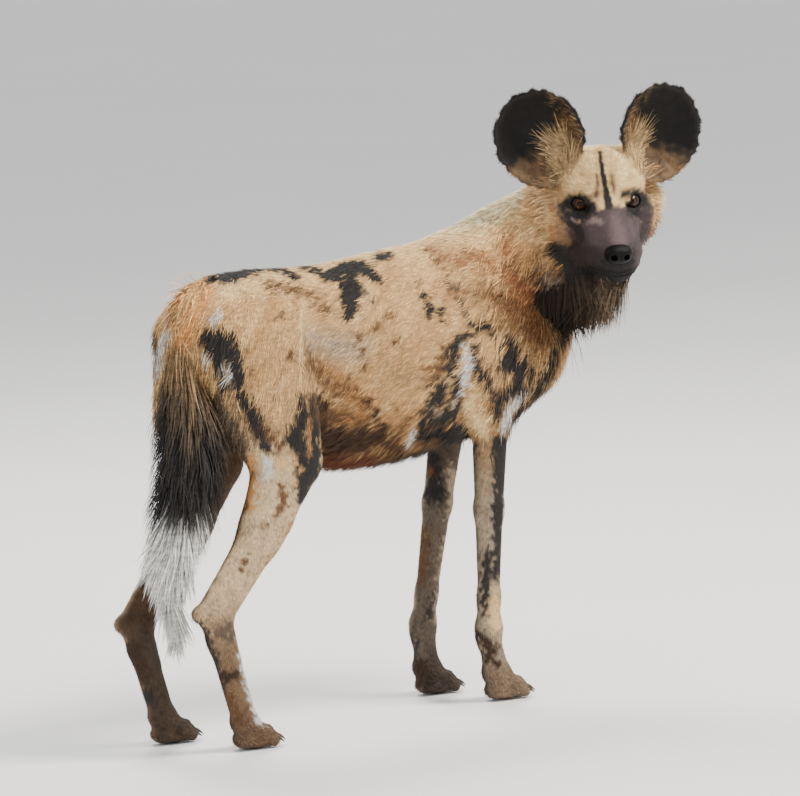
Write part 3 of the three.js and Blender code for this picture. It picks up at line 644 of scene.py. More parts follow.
def surface_nets(axes, d):
    """A mesh of quads where d is nought: a vertex in each cell that the surface crosses."""
    inside = d < 0
    count = np.zeros(tuple(n - 1 for n in d.shape), np.uint8)
    for i, j, k in product((0, 1), repeat=3):
        count += inside[i : i - 1 or None, j : j - 1 or None, k : k - 1 or None]
    cells = np.argwhere((count > 0) & (count < 8))
    index = np.full(count.shape, -1, np.int32)
    index[tuple(cells.T)] = np.arange(len(cells))
    total, hits = np.zeros((len(cells), 3)), np.zeros(len(cells))
    for along in range(3):
        others = [n for n in range(3) if n != along]
        for i, j in product((0, 1), repeat=2):
            low = cells.copy()
            low[:, others] += (i, j)
            high = low.copy()
            high[:, along] += 1
            a, b = d[tuple(low.T)], d[tuple(high.T)]
            cross = (a < 0) != (b < 0)
            t = (a[cross] / (a[cross] - b[cross]))[:, None]
            p, q = (np.stack([ax[n] for ax, n in zip(axes, c[cross].T)], -1) for c in (low, high))
            total[cross] += p + (q - p) * t
            hits[cross] += 1
    quads = []
    for along in range(3):
        one, two = (along + 1) % 3, (along + 2) % 3
        low = np.moveaxis(inside, along, 0)
        change = np.moveaxis(low[1:] != low[:-1], 0, along)
        edges = np.argwhere(change)
        edges = edges[(edges[:, one] > 0) & (edges[:, two] > 0)]
        corners = []
        for i, j in ((0, 0), (1, 0), (1, 1), (0, 1)):
            cell = edges.copy()
            cell[:, [one, two]] -= (1 - i, 1 - j)
            corners.append(index[tuple(cell.T)])
        quad = np.stack(corners, -1)
        flip = ~inside[tuple(edges.T)]
        quad[flip] = quad[flip][:, ::-1]
        quads.append(quad)
    return total / hits[:, None], np.concatenate(quads)


def vertex_normals(p, quads):
    face = np.cross(p[quads[:, 2]] - p[quads[:, 0]], p[quads[:, 3]] - p[quads[:, 1]])
    n = np.zeros_like(p)
    for k in range(4):
        for c in range(3):
            n[:, c] += np.bincount(quads[:, k], face[:, c], len(p))
    return unit(n)


def relaxed(p, quads, distance, rounds=3):
    """Evens out the mesh along the surface and draws it back onto the surface."""
    for _ in range(rounds):
        total, hits = np.zeros_like(p), np.zeros(len(p))
        for a, b in ((0, 1), (1, 2), (2, 3), (3, 0)):
            for i, j in ((a, b), (b, a)):
                hits += np.bincount(quads[:, i], minlength=len(p))
                for c in range(3):
                    total[:, c] += np.bincount(quads[:, i], p[quads[:, j], c], len(p))
        n = vertex_normals(p, quads)
        step = total / hits[:, None] - p
        p = p + 0.5 * (step - n * (step * n).sum(-1, keepdims=True))
        p = p - n * np.clip(distance(p), -2, 2)[:, None]
    return p


def largest(p, quads):
    """Keeps the largest connected surface."""
    label = np.arange(len(p))
    while True:
        low = label[quads].min(1)
        fresh = label.copy()
        for k in range(4):
            np.minimum.at(fresh, quads[:, k], low)
        fresh = fresh[fresh]
        if (fresh == label).all():
            break
        label = fresh
    main = np.bincount(label).argmax()
    keep = label == main
    number = np.cumsum(keep) - 1
    return p[keep], number[quads[keep[quads[:, 0]]]]


def mesh_object(name, vertices, faces, material, replaces=(), smooth=True, tone=None):
    """An object of design-frame vertices and faces that all have the same number of corners."""
    vertices = place(vertices)
    faces = np.asarray(faces, np.int32)
    mesh = bpy.data.meshes.new(name)
    mesh.vertices.add(len(vertices))
    mesh.vertices.foreach_set("co", vertices.astype(np.float32).ravel())
    mesh.loops.add(faces.size)
    mesh.loops.foreach_set("vertex_index", faces.ravel())
    mesh.polygons.add(len(faces))
    mesh.polygons.foreach_set("loop_start", np.arange(len(faces), dtype=np.int32) * faces.shape[1])
    mesh.polygons.foreach_set("loop_total", np.full(len(faces), faces.shape[1], np.int32))
    mesh.update(calc_edges=True)
    mesh.polygons.foreach_set("use_smooth", np.full(len(faces), smooth))
    if tone is not None:
        layer = mesh.color_attributes.new("tone", "FLOAT_COLOR", "POINT")
        rgba = np.concatenate([tone, np.ones((len(tone), 1))], 1)
        layer.data.foreach_set("color", rgba.astype(np.float32).ravel())
    mesh.materials.append(material)
    made = bpy.data.objects.new(name, mesh)
    bpy.context.scene.collection.objects.link(made)
    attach(made, "root")
    if replaces:
        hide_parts(*replaces)
    return made


def make_skin():
    """The whole animal's skin as quads, with its normals."""
    p, quads = surface_nets(GRID, grid_distance())
    p, quads = largest(p, quads)
    p = relaxed(p, quads, body_distance)
    return p, quads, vertex_normals(p, quads)


# The camera stands behind the dog's right side, far off, and leans a little.
CAMERA_AZIMUTH, CAMERA_HEIGHT, CAMERA_ROLL = -40, 7, 3
CAMERA_DISTANCE = 10000
CAMERA_TARGET = point(339.98, -17.9, 447.58)
MM_PER_PIXEL = 1.42
PHOTO_SIZE = (800, 796)
SENSOR = 36


def camera_axes():
    a, e, r = map(math.radians, (CAMERA_AZIMUTH, CAMERA_HEIGHT, CAMERA_ROLL))
    back = point(math.sin(a) * math.cos(e), -math.cos(a) * math.cos(e), math.sin(e))
    right = unit(np.cross(UP, back))
    up = np.cross(back, right)
    return right * math.cos(r) - up * math.sin(r), right * math.sin(r) + up * math.cos(r), back


CAMERA_RIGHT, CAMERA_UP, CAMERA_BACK = camera_axes()


def photo_pixels(p):
    """Where points lie in the photograph."""
    q = p - (CAMERA_TARGET + CAMERA_BACK * CAMERA_DISTANCE)
    scale = CAMERA_DISTANCE / MM_PER_PIXEL / -(q @ CAMERA_BACK)
    right = PHOTO_SIZE[0] / 2 + scale * (q @ CAMERA_RIGHT)
    down = PHOTO_SIZE[1] / 2 - scale * (q @ CAMERA_UP)
    return np.stack([right, down], -1)


def add_camera():
    data = bpy.data.cameras.new("camera")
    data.sensor_width = SENSOR
    data.lens = SENSOR * CAMERA_DISTANCE / MM_PER_PIXEL / PHOTO_SIZE[0]
    data.clip_end = 100
    camera = bpy.data.objects.new("camera", data)
    turn = Matrix([CAMERA_RIGHT, CAMERA_UP, CAMERA_BACK]).transposed().to_4x4()
    turn.translation = Vector(place(CAMERA_TARGET + CAMERA_BACK * CAMERA_DISTANCE))
    camera.matrix_world = turn
    bpy.context.scene.collection.objects.link(camera)
    bpy.context.scene.camera = camera


# The point that the lights face, in metres, and each light: name, place, size, power and colour.
LIT = Vector((0.1, -0.05, 0.45))
LIGHTS = [
    ("key", (1.4, -2.0, 3.8), 1.6, 270, (1.0, 0.95, 0.88)),
    ("fill", (-2.6, -2.8, 1.4), 2.4, 32, (0.92, 0.96, 1.0)),
    ("rim", (0.9, 2.4, 3.4), 1.6, 150, (1.0, 0.98, 0.95)),
]


def area_light(name, start, size, power, colour):
    data = bpy.data.lights.new(name, "AREA")
    data.shape = "DISK"
    data.size = size
    data.energy = power
    data.color = colour
    light = bpy.data.objects.new(name, data)
    light.location = start
    light.rotation_euler = (LIT - Vector(start)).to_track_quat("-Z", "Y").to_euler()
    bpy.context.scene.collection.objects.link(light)


# The floor's half side and level in metres, and the colours of the floor and of the light all round.
FLOOR_SIZE, FLOOR_LEVEL = 60, -0.0005
FLOOR_COLOUR = (0.84, 0.83, 0.81)
WORLD_COLOUR = (0.86, 0.87, 0.89)


def add_studio():
    """A wide pale floor, soft lights and a pale world."""
    world = bpy.data.worlds.new("studio")
    world.use_nodes = True
    put(world.node_tree.nodes["Background"].inputs, Color=(*WORLD_COLOUR, 1), Strength=1.08)
    bpy.context.scene.world = world
    mesh = bpy.data.meshes.new("floor")
    corners = [(a * FLOOR_SIZE, b * FLOOR_SIZE, FLOOR_LEVEL) for a, b in ((-1, -1), (1, -1), (1, 1), (-1, 1))]
    mesh.from_pydata(corners, [], [(0, 1, 2, 3)])
    floor = bpy.data.objects.new("floor", mesh)
    mesh.materials.append(floor_material())
    bpy.context.scene.collection.objects.link(floor)
    for light in LIGHTS:
        area_light(*light)


def put(inputs, **values):
    """Sets constants on a node's inputs. An underscore stands for a space in a name."""
    for name, value in values.items():
        inputs[name.replace("_", " ")].default_value = value


def add_node(tree, kind, **values):
    node = tree.nodes.new("ShaderNode" + kind)
    put(node.inputs, **values)
    return node


def new_material(name, roughness, specular=0.3):
    material = bpy.data.materials.new(name)
    material.use_nodes = True
    shader = material.node_tree.nodes["Principled BSDF"]
    put(shader.inputs, Roughness=roughness, Specular_IOR_Level=specular)
    return material, material.node_tree, shader


def noise_node(tree, scale, detail=3, roughness=0.5):
    where = add_node(tree, "TexCoord")
    noise = add_node(tree, "TexNoise", Scale=scale, Detail=detail, Roughness=roughness)
    tree.links.new(where.outputs["Object"], noise.inputs["Vector"])
    return noise.outputs["Fac"]


def ranged(tree, value, low, high, start=0.0, end=1.0):
    node = add_node(tree, "MapRange", From_Min=start, From_Max=end, To_Min=low, To_Max=high)
    tree.links.new(value, node.inputs["Value"])
    return node.outputs["Result"]


def scaled_colour(tree, colour, factor):
    node = add_node(tree, "VectorMath")
    node.operation = "SCALE"
    tree.links.new(colour, node.inputs[0])
    tree.links.new(factor, node.inputs["Scale"])
    return node.outputs["Vector"]


def add_bump(tree, shader, height, distance):
    bump = add_node(tree, "Bump", Distance=distance, Strength=1.0)
    tree.links.new(height, bump.inputs["Height"])
    tree.links.new(bump.outputs["Normal"], shader.inputs["Normal"])


def one_colour(tree, colour):
    node = tree.nodes.new("ShaderNodeRGB")
    node.outputs[0].default_value = (*colour, 1)
    return node.outputs[0]


# How many ripples of the coat there are to a metre, along each axis.
RIPPLE_SCALE = (75, 75, 250)


def ripple_shade(tree, low, high):
    """Painted shade: fine uneven darker lines across the lie of the hair, where the coat's ripples fall into
    shade, as a factor between low and high.
    """
    where = add_node(tree, "TexCoord")
    stretch = add_node(tree, "VectorMath")
    stretch.operation = "MULTIPLY"
    stretch.inputs[1].default_value = RIPPLE_SCALE
    tree.links.new(where.outputs["Object"], stretch.inputs[0])
    noise = add_node(tree, "TexNoise", Scale=1, Detail=2)
    tree.links.new(stretch.outputs["Vector"], noise.inputs["Vector"])
    return ranged(tree, noise.outputs["Fac"], low, high, 0.36, 0.6)


def toned_material(name, roughness, grain, bump, ripple=0.0):
    """Coat or skin: the mesh carries the colour, and noise breaks it up."""
    material, tree, shader = new_material(name, roughness, 0.22)
    tone = add_node(tree, "VertexColor")
    tone.layer_name = "tone"
    shade = ranged(tree, noise_node(tree, grain, 4, 0.6), 0.72, 1.28)
    colour = scaled_colour(tree, tone.outputs["Color"], shade)
    # The ripple lays painted shade in fine lines across the coat.
    if ripple:
        colour = scaled_colour(tree, colour, ripple_shade(tree, 1 - ripple, 1 + ripple * 0.5))
    tree.links.new(colour, shader.inputs["Base Color"])
    rough = ranged(tree, noise_node(tree, grain * 0.4), roughness - 0.12, roughness + 0.12)
    tree.links.new(rough, shader.inputs["Roughness"])
    add_bump(tree, shader, noise_node(tree, grain * 2.2, 3, 0.6), bump)
    return material


def floor_material():
    material, tree, shader = new_material("floor", 0.75)
    shade = ranged(tree, noise_node(tree, 1.5), 0.97, 1.03)
    colour = scaled_colour(tree, one_colour(tree, FLOOR_COLOUR), shade)
    tree.links.new(colour, shader.inputs["Base Color"])
    return material


def rgb(red, green, blue):
    """A colour seen on a screen, as the linear values that a shader takes."""
    c = np.array([red, green, blue]) / 255
    return np.where(c <= 0.04045, c / 12.92, ((c + 0.055) / 1.055) ** 2.4)


TAN = rgb(206, 164, 110)
SAND = rgb(230, 184, 124)
CREAM = rgb(252, 210, 150)
# A painted highlight colour, for the light on the top edge of the back and on the nape.
RIM_HIGHLIGHT = rgb(255, 232, 186)
OCHRE = rgb(176, 124, 72)
RUST = rgb(140, 78, 46)
ORANGE = rgb(224, 154, 84)
UMBER = rgb(62, 42, 27)
BROWN = rgb(108, 76, 48)
GREY_TAN = rgb(184, 160, 130)
CHEEK = rgb(158, 124, 90)
NECK_BROWN = rgb(112, 76, 46)
DUN = rgb(112, 95, 76)
BLACK = rgb(46, 42, 40)
WHITE = rgb(226, 224, 218)
SLATE = rgb(84, 70, 70)
PINK_GREY = rgb(150, 126, 120)

# The body parts that each group of marks lies on.
GROUPS = {
    "belly": ("torso",),
    "near": ("torso", "neck", "hind_right", "fore_right"),
    "far": ("torso", "hind_left", "fore_left"),
    "head": ("head", "neck"),
}

# Marks on the side that the photograph shows, by group: a colour, how softly it ends, and runs of x, y and
# radius in the photograph's pixels. Each mark lies over those before it.
NEAR_MARKS = {
    "belly": [
        (OCHRE, 12, [(322, 364, 8), (345, 386, 12), (368, 404, 9)]),
        # Painted shadow in the hollow of the flank behind the fold of the stifle.
        (BROWN, 7, [(308, 345, 3), (312, 365, 5), (324, 380, 5), (346, 396, 3)]),
        (BROWN, 8, [(318, 414, 12), (340, 418, 10), (362, 420, 8)]),
        (BROWN, 4, [(345, 380, 1), (358, 396, 2), (368, 408, 2)]),
        (UMBER, 4, [(314, 398, 5), (324, 405, 7)]),
        (UMBER, 8, [(318, 424, 8), (332, 442, 16), (356, 440, 14), (378, 434, 10), (398, 448, 6)]),
        (UMBER, 3, [(367, 400, 1.5), (377, 416, 2.5), (384, 432, 4)]),
        (OCHRE, 3, [(334, 404, 1), (352, 422, 1)], [(345, 398, 1), (364, 420, 1)]),
        (RUST * 0.5, 5, [(318, 460, 7), (345, 464, 8), (372, 462, 6)]),
    ],
    "near": [
        (CREAM, 14, [(215, 290, 12), (330, 262, 10), (420, 240, 14), (480, 222, 16), (520, 200, 12)]),
        (CREAM, 10, [(540, 205, 6), (536, 235, 8)]),
        # A painted highlight of light along the top edge of the back and the nape.
        (RIM_HIGHLIGHT, 8, [(300, 262, 1), (400, 240, 3), (450, 226, 5), (490, 212, 7), (520, 196, 6)]),
        (ORANGE, 12, [(212, 290, 4), (196, 310, 6), (184, 340, 8)]),
        (RUST, 12, [(430, 248, 2), (452, 262, 3), (470, 258, 4), (488, 262, 4)]),
        (RUST * 1.2, 9, [(504, 234, 1), (505, 250, 2), (510, 268, 4)]),
        (RUST, 14, [(440, 290, 2), (462, 292, 3)]),
        (RUST, 6, [(422, 366, 3), (432, 372, 2)]),
        (NECK_BROWN, 14, [(478, 290, 3), (502, 298, 12), (522, 312, 20), (540, 336, 16)]),
        (RUST * 0.8, 9, [(506, 272, 4), (522, 286, 7), (538, 302, 5)]),
        (BROWN, 5, [(508, 262, 3), (522, 274, 4)]),
        (GREY_TAN, 12, [(310, 335, 8), (330, 345, 12), (360, 350, 12)]),
        (BROWN, 3, [(395, 406, 1.5)]),
        (TAN * 0.7, 12, [(378, 360, 3), (400, 377, 9), (418, 374, 4)]),
        (BROWN, 4, [(408, 416, 1), (396, 440, 2)]),
        # A thin painted highlight on the front edge of the thigh, at the fold of the stifle.
        (CREAM, 1.2, [(300, 296, 1), (300, 345, 1.4), (301, 392, 1)]),
        # The back.
        (BLACK, 2, [(206, 280, 1.5), (222, 277, 6), (238, 273, 7), (252, 270, 5), (266, 267, 3)]),
        (BLACK, 1.5,
            [(268, 268, 1.5), (284, 271, 2), (296, 277, 2)],
            [(300, 267, 1.5), (315, 270, 2), (326, 277, 5), (345, 272, 9), (360, 268, 7),
             (377, 279, 4)]),
        (BLACK, 2, [(346, 276, 9), (351, 290, 11), (350, 304, 8), (349, 314, 5)]),
        (DUN, 3, [(366, 294, 2), (374, 304, 1)]),
        (SAND, 1.5, [(344, 279, 1)], [(357, 274, 1.5)]),
        (BLACK, 1.5,
            [(378, 257, 3), (390, 256, 3)],
            [(424, 297, 2), (430, 307, 3.5), (428, 317, 2)],
            [(440, 309, 1.5), (442, 319, 1.5)]),
        (DUN, 3, [(417, 284, 3), (420, 282, 2)]),
        (BROWN, 3, [(358, 337, 2.5), (362, 350, 0.5), (365, 372, 0.5)], [(397, 341, 2)], [(376, 325, 2)]),
        (BROWN, 4, [(392, 315, 1.5)]),
        (BROWN, 5, [(268, 284, 1), (288, 290, 2), (312, 296, 2), (326, 308, 3)]),
        (BROWN, 2.5, [(427, 250, 0.5), (445, 275, 0.8), (460, 300, 1), (473, 330, 1.2)]),
        (DUN, 2, [(452, 285, 1), (462, 305, 1.2), (472, 326, 1.2)]),
        # The shoulder, the upper arm, the breast and the throat.
        (BROWN, 5, [(448, 346, 4), (440, 366, 5), (430, 386, 3)]),
        (BLACK, 3,
            [(468, 335, 3), (457, 342, 5), (452, 358, 5), (449, 374, 4)],
            [(442, 384, 5), (437, 400, 8), (428, 414, 6), (442, 418, 9), (454, 410, 8), (456, 394, 6),
             (459, 378, 3)]),
        (BLACK, 2.5, [(424, 424, 6), (418, 436, 4), (440, 432, 8), (458, 430, 7), (452, 444, 6)]),
        (GREY_TAN, 2, [(433, 407, 2), (438, 413, 2)], [(456, 398, 1.5), (452, 408, 1.5)]),
        (BLACK, 2.5, [(478, 326, 5), (492, 330, 3)]),
        (BLACK, 3, [(476, 342, 2), (474, 358, 3), (478, 370, 6), (486, 378, 5)]),
        (BLACK, 2.5, [(487, 386, 3), (490, 394, 2)]),
        (TAN, 3, [(487, 345, 4), (498, 353, 5)]),
        (BLACK, 3,
            [(508, 340, 5), (512, 352, 8), (505, 366, 8), (520, 366, 10), (522, 382, 9), (512, 393, 7),
             (534, 372, 5)]),
        (TAN, 2, [(508, 377, 2)], [(525, 379, 3)], [(538, 366, 3), (536, 380, 2)]),
        (BLACK, 3, [(500, 397, 5), (497, 408, 5), (499, 420, 3)]),
        (BLACK, 2.5, [(526, 404, 4), (518, 413, 3), (513, 424, 3), (509, 438, 2)]),
        (BLACK, 3, [(556, 346, 3), (550, 366, 4), (541, 386, 5), (530, 402, 3)]),
        (BLACK, 4, [(531, 270, 2), (542, 283, 4), (553, 300, 6), (560, 320, 8), (562, 342, 4)]),
        (CREAM, 4, [(471, 390, 3), (472, 410, 8), (480, 426, 9), (488, 436, 3)]),
        (SAND, 2, [(533, 412, 2), (522, 430, 2), (513, 448, 2)]),
        (WHITE, 2, [(465, 346, 2), (468, 362, 4), (466, 378, 4), (462, 392, 2)]),
        (WHITE, 1.5,
            [(523, 397, 2.5), (512, 403, 3), (507, 416, 4), (504, 430, 3), (504, 440, 1.5)],
            [(414, 428, 1.5), (409, 440, 2.5), (406, 449, 1)]),
        # The thigh and the stifle.
        (DUN * 0.8, 7, [(216, 398, 6), (228, 420, 10), (238, 446, 11), (243, 474, 7)]),
        (BLACK, 2, [(211, 338, 10), (222, 346, 15), (228, 362, 14), (231, 378, 13)]),
        (BLACK, 2.5, [(238, 392, 5), (246, 405, 6), (254, 418, 7), (260, 432, 8), (266, 446, 6)]),
        (GREY_TAN, 2.5, [(224, 369, 4), (228, 379, 5)]),
        (WHITE, 1.5, [(220, 376, 1.5), (226, 369, 2), (231, 377, 1.5), (226, 383, 1.5)]),
        (WHITE, 2.5, [(211, 321, 2.5), (218, 315, 3)]),
        (WHITE, 1.5, [(203, 354, 1.5), (209, 364, 1.5)]),
        (BROWN, 2, [(291, 354, 2), (292, 358, 2)]),
        (BROWN, 3, [(280, 314, 3)]),
        (BROWN, 2, [(276, 397, 1.5)]),
        (BROWN, 4, [(268, 430, 3), (276, 440, 4), (280, 450, 3)]),
        (BROWN, 2, [(251, 372, 2)]),
        (ORANGE, 4, [(251, 456, 2), (251, 482, 3), (250, 510, 2)]),
        (BLACK, 2.5,
            [(301, 399, 3), (303, 412, 5), (300, 426, 8), (294, 438, 9), (300, 449, 8), (303, 462, 9),
             (304, 478, 8), (303, 496, 6)],
            [(310, 408, 3), (313, 430, 5), (315, 452, 6), (313, 476, 6)]),
        (SAND, 1.5, [(294, 454, 2), (297, 464, 2)]),
        (SAND, 2, [(301, 471, 2.5)], [(296, 482, 2)]),
        (SAND, 3, [(284, 464, 6)]),
        (OCHRE, 1.5, [(308, 405, 0.8), (310, 430, 1), (310, 455, 1)]),
        (WHITE, 1.5, [(263, 455, 2), (268, 463, 4), (268, 475, 3.5)]),
        # The shank, the hock and the hind paw.
        (BROWN, 2, [(282, 488, 3), (283, 505, 3), (278, 514, 2)], [(266, 525, 1.5)]),
        (BROWN, 3, [(246, 560, 2), (242, 570, 2)]),
        (CREAM, 2, [(245, 590, 1), (247, 604, 1), (242, 616, 1)]),
        (OCHRE, 5, [(296, 520, 3), (283, 548, 3), (266, 576, 4)]),
        (DUN * 0.8, 4, [(222, 632, 5), (235, 636, 6), (228, 624, 3)]),
        (BLACK, 3, [(200, 627, 4), (208, 650, 5), (215, 675, 6), (225, 700, 4)]),
        (UMBER, 3, [(226, 676, 5), (238, 674, 3)]),
        (BROWN, 4, [(228, 697, 5), (238, 718, 5)]),
        (WHITE, 2.5, [(240, 640, 3), (243, 668, 2.5), (252, 698, 3.5), (260, 722, 3)]),
        # The foreleg.
        (BLACK, 2,
            [(500, 444, 8), (502, 466, 7), (500, 490, 6), (498, 515, 5), (499, 545, 4), (497, 575, 4)]),
        (BLACK, 2.5, [(488, 552, 3), (486, 585, 4), (486, 612, 3)]),
        (BLACK, 3, [(474, 448, 3), (468, 470, 1.5)]),
        (CREAM * 0.9, 3, [(495, 592, 3), (495, 606, 6), (495, 624, 7)]),
        (WHITE, 1.5, [(506, 492, 1), (505, 540, 1.5), (504, 585, 2)]),
        (UMBER, 3, [(480, 634, 3), (484, 642, 5), (493, 648, 4), (486, 656, 4), (498, 664, 3)]),
        (WHITE, 2, [(506, 640, 2), (513, 658, 2.5)]),
        (BLACK, 1.5, [(470, 631, 3), (474, 635, 4)]),
    ],
    "far": [
        (WHITE, 4, [(165, 335, 4), (158, 352, 5), (158, 372, 4)]),
        (BLACK, 3, [(152, 335, 5), (148, 360, 4), (150, 378, 4)]),
        (UMBER, 5, [(132, 650, 8), (140, 676, 7)]),
        (BLACK, 3,
            [(120, 652, 5), (128, 680, 5), (137, 698, 7), (150, 698, 6)],
            [(430, 455, 7), (437, 480, 6), (432, 493, 8), (447, 494, 5)]),
        (BLACK, 2,
            [(460, 492, 3), (456, 515, 3), (450, 545, 3), (445, 575, 4), (436, 600, 4), (430, 615, 3)]),
        (RUST, 4, [(430, 470, 3)]),
        (BROWN, 4, [(422, 530, 5), (420, 580, 5)]),
        (GREY_TAN, 3, [(452, 470, 5), (452, 520, 3), (445, 550, 3), (437, 620, 4)]),
        (BLACK, 3, [(410, 645, 7), (410, 662, 8)]),
        (UMBER, 4, [(420, 668, 7), (418, 680, 7)]),
    ],
    "head": [
        (CREAM * 0.85, 8, [(556, 176, 8), (548, 192, 6), (546, 215, 6), (545, 240, 5)]),
        (CREAM, 7, [(659, 195, 5), (661, 215, 5), (660, 238, 5)]),
        (CHEEK, 6, [(560, 214, 3), (563, 228, 7), (560, 240, 6)]),
        (RUST * 1.3, 5, [(551, 198, 1), (552, 210, 2)], [(551, 228, 1), (552, 238, 1)]),
        (RUST, 4, [(653, 230, 3), (653, 240, 3)]),
        (SLATE, 4,
            [(566, 212, 4), (572, 222, 6), (579, 236, 7)],
            [(590, 216, 4), (600, 216, 5), (612, 213, 6), (626, 214, 6), (645, 218, 4)],
            [(590, 234, 12), (612, 234, 18), (634, 230, 12), (643, 238, 5)]),
        (PINK_GREY, 3, [(588, 222, 2), (594, 219, 4), (600, 222, 3)]),
        # A lighter grey stripe down the bridge of the muzzle: painted sheen.
        (SLATE * 1.7, 6, [(614, 218, 4), (618, 232, 7), (620, 242, 8)]),
        (SLATE * 1.5, 3, [(630, 222, 2), (634, 236, 2)]),
        (SLATE * 0.45, 6, [(558, 248, 5), (575, 256, 12), (598, 262, 12), (622, 268, 12)]),
        (SLATE * 0.9, 4, [(641, 250, 4), (640, 262, 4)]),
        (BLACK * 0.7, 4, [(552, 248, 5), (558, 256, 6), (568, 266, 6), (578, 276, 7)]),
        (BLACK * 0.3, 4, [(584, 272, 6), (604, 276, 10), (626, 276, 9)]),
        (BLACK * 0.5, 2, [(604, 262, 2), (620, 266, 4), (632, 262, 2)]),
        (SLATE * 0.8, 5, [(560, 206, 2), (565, 215, 4)]),
        (BLACK, 4,
            [(564, 207, 3), (571, 199, 4), (582, 199, 5), (591, 206, 5), (586, 215, 5), (573, 215, 6)]),
        (BLACK * 0.8, 3, [(590, 208, 3), (594, 213, 1)]),
        (BLACK, 3, [(571, 222, 3), (579, 230, 4), (582, 240, 3)]),
        (PINK_GREY, 2, [(572, 219, 1), (577, 223, 1)]),
        (SLATE * 0.8, 5, [(644, 204, 4), (648, 216, 4)]),
        (BLACK, 4,
            [(624, 195, 3), (634, 193, 4), (643, 197, 5), (649, 208, 3), (640, 214, 4), (629, 210, 3)]),
        (SLATE * 0.8, 4, [(647, 212, 4), (646, 228, 4), (640, 238, 3)]),
        (BLACK * 0.8, 1.5, [(600, 153, 0.8), (602, 168, 1.4), (605, 186, 1.8), (609, 206, 3)]),
        (BROWN, 3, [(597, 176, 0.5), (598, 190, 1), (596, 196, 2)], [(612, 176, 0.5), (614, 192, 1)]),
        (DUN, 4, [(538, 262, 3), (548, 272, 6), (555, 282, 6)]),
    ],
}

# Marks on the side that it hides, as runs of x, z and radius on the left flank, in millimetres.
HIDDEN_MARKS = {
    "near": [
        (BLACK, 4, [(110, 372, 10), (100, 340, 10)]),
    ],
    "far": [
        (CREAM, 25, [(80, 640, 20), (250, 655, 22), (430, 660, 24), (560, 650, 30)]),
        (UMBER, 12, [(205, 400, 20), (260, 378, 26), (330, 375, 20)]),
        (BROWN, 14, [(190, 430, 16), (260, 412, 18), (330, 398, 14)]),
        (OCHRE, 26, [(150, 470, 24), (230, 440, 26), (320, 430, 20)]),
        (NECK_BROWN, 26, [(560, 600, 14), (588, 560, 22), (592, 520, 18)]),
        (BLACK, 4, [(30, 652, 6), (70, 644, 9), (110, 628, 16), (128, 600, 18), (140, 574, 8)]),
        (BLACK, 3, [(60, 612, 5), (72, 598, 7)]),
        (BLACK, 4, [(262, 648, 10), (288, 628, 20), (318, 604, 26), (334, 572, 18), (352, 556, 6)]),
        (BLACK, 3, [(346, 636, 6), (362, 622, 9)]),
        (BLACK, 4,
            [(225, 560, 5), (232, 545, 7)],
            [(396, 590, 5), (410, 560, 10), (404, 536, 5)],
            [(430, 500, 6), (452, 486, 12), (440, 452, 18), (424, 420, 20), (400, 404, 10)],
            [(500, 548, 6), (520, 520, 14), (548, 482, 18), (534, 440, 14)]),
        (BLACK, 3, [(492, 500, 7), (500, 470, 9)]),
        (BLACK, 4,
            [(562, 560, 8), (584, 535, 10)],
            [(14, 560, 12), (28, 530, 20), (44, 498, 22), (60, 462, 16), (74, 430, 8)],
            [(116, 490, 7), (122, 452, 12), (112, 420, 10), (104, 396, 8)]),
        (BLACK, 3, [(96, 540, 4), (102, 528, 5)]),
        (WHITE, 4, [(470, 560, 6), (480, 530, 9), (474, 500, 6)]),
        (WHITE, 3, [(506, 440, 5), (498, 412, 6)], [(44, 520, 7), (50, 505, 6)]),
        (WHITE, 4, [(180, 600, 6), (196, 584, 8)]),
        (RUST, 18, [(600, 640, 6), (560, 600, 8), (540, 560, 6)]),
        (ORANGE, 14, [(0, 630, 8), (-10, 590, 10)]),
        (BLACK, 4, [(96, 372, 12), (86, 344, 14), (62, 312, 8)]),
        (WHITE, 4, [(60, 350, 6), (50, 330, 7)]),
        (BLACK, 3, [(10, 260, 5), (-18, 236, 6)]),
        (BLACK, 4, [(-96, 172, 8), (-92, 140, 8), (-84, 106, 7)]),
        (WHITE, 3, [(-62, 150, 3), (-54, 112, 4), (-44, 76, 4)]),
        (BLACK, 4, [(508, 390, 10), (500, 330, 9), (484, 270, 7), (472, 220, 5)]),
        (WHITE, 3, [(462, 206, 6), (452, 168, 6)]),
        (UMBER, 4, [(414, 130, 6), (420, 100, 7)]),
        (BROWN, 6, [(446, 300, 8), (438, 250, 8)]),
    ],
}


def waves(p, size, salt):
    """A smooth random number from about -1 to 1 at each point."""
    draw = np.random.default_rng(salt)
    ways = unit(draw.normal(size=(10, 3))) * draw.uniform(0.6, 1.6, (10, 1)) * 2 * math.pi / size
    return np.sin(p @ ways.T + draw.uniform(0, 2 * math.pi, 10)).sum(1) / 4


def streaks(p, way, size, salt):
    """Like waves, but drawn out along a way."""
    way = unit(way)
    return waves(p - way * (p @ way)[:, None] * 0.86, size, salt)


def run_distance(q, run):
    """Distance from flat points to a run of discs."""
    run = np.array(run, float)
    d = np.hypot(q[:, 0] - run[0, 0], q[:, 1] - run[0, 1]) - run[0, 2]
    for a, b in zip(run[:-1], run[1:]):
        ab = b[:2] - a[:2]
        t = np.clip((q - a[:2]) @ ab / max(ab @ ab, 1e-9), 0, 1)
        d = np.minimum(d, np.hypot(*(q - a[:2] - t[:, None] * ab).T) - (a[2] + (b[2] - a[2]) * t))
    return d


def laid(tone, colour, weight):
    return tone + (colour - tone) * weight[:, None]


# How much wider a dark mark is laid than its run, and a pale one, as the tufts shift their edges.
DARK_FULLER, PALE_FULLER = 1.2, -0.3


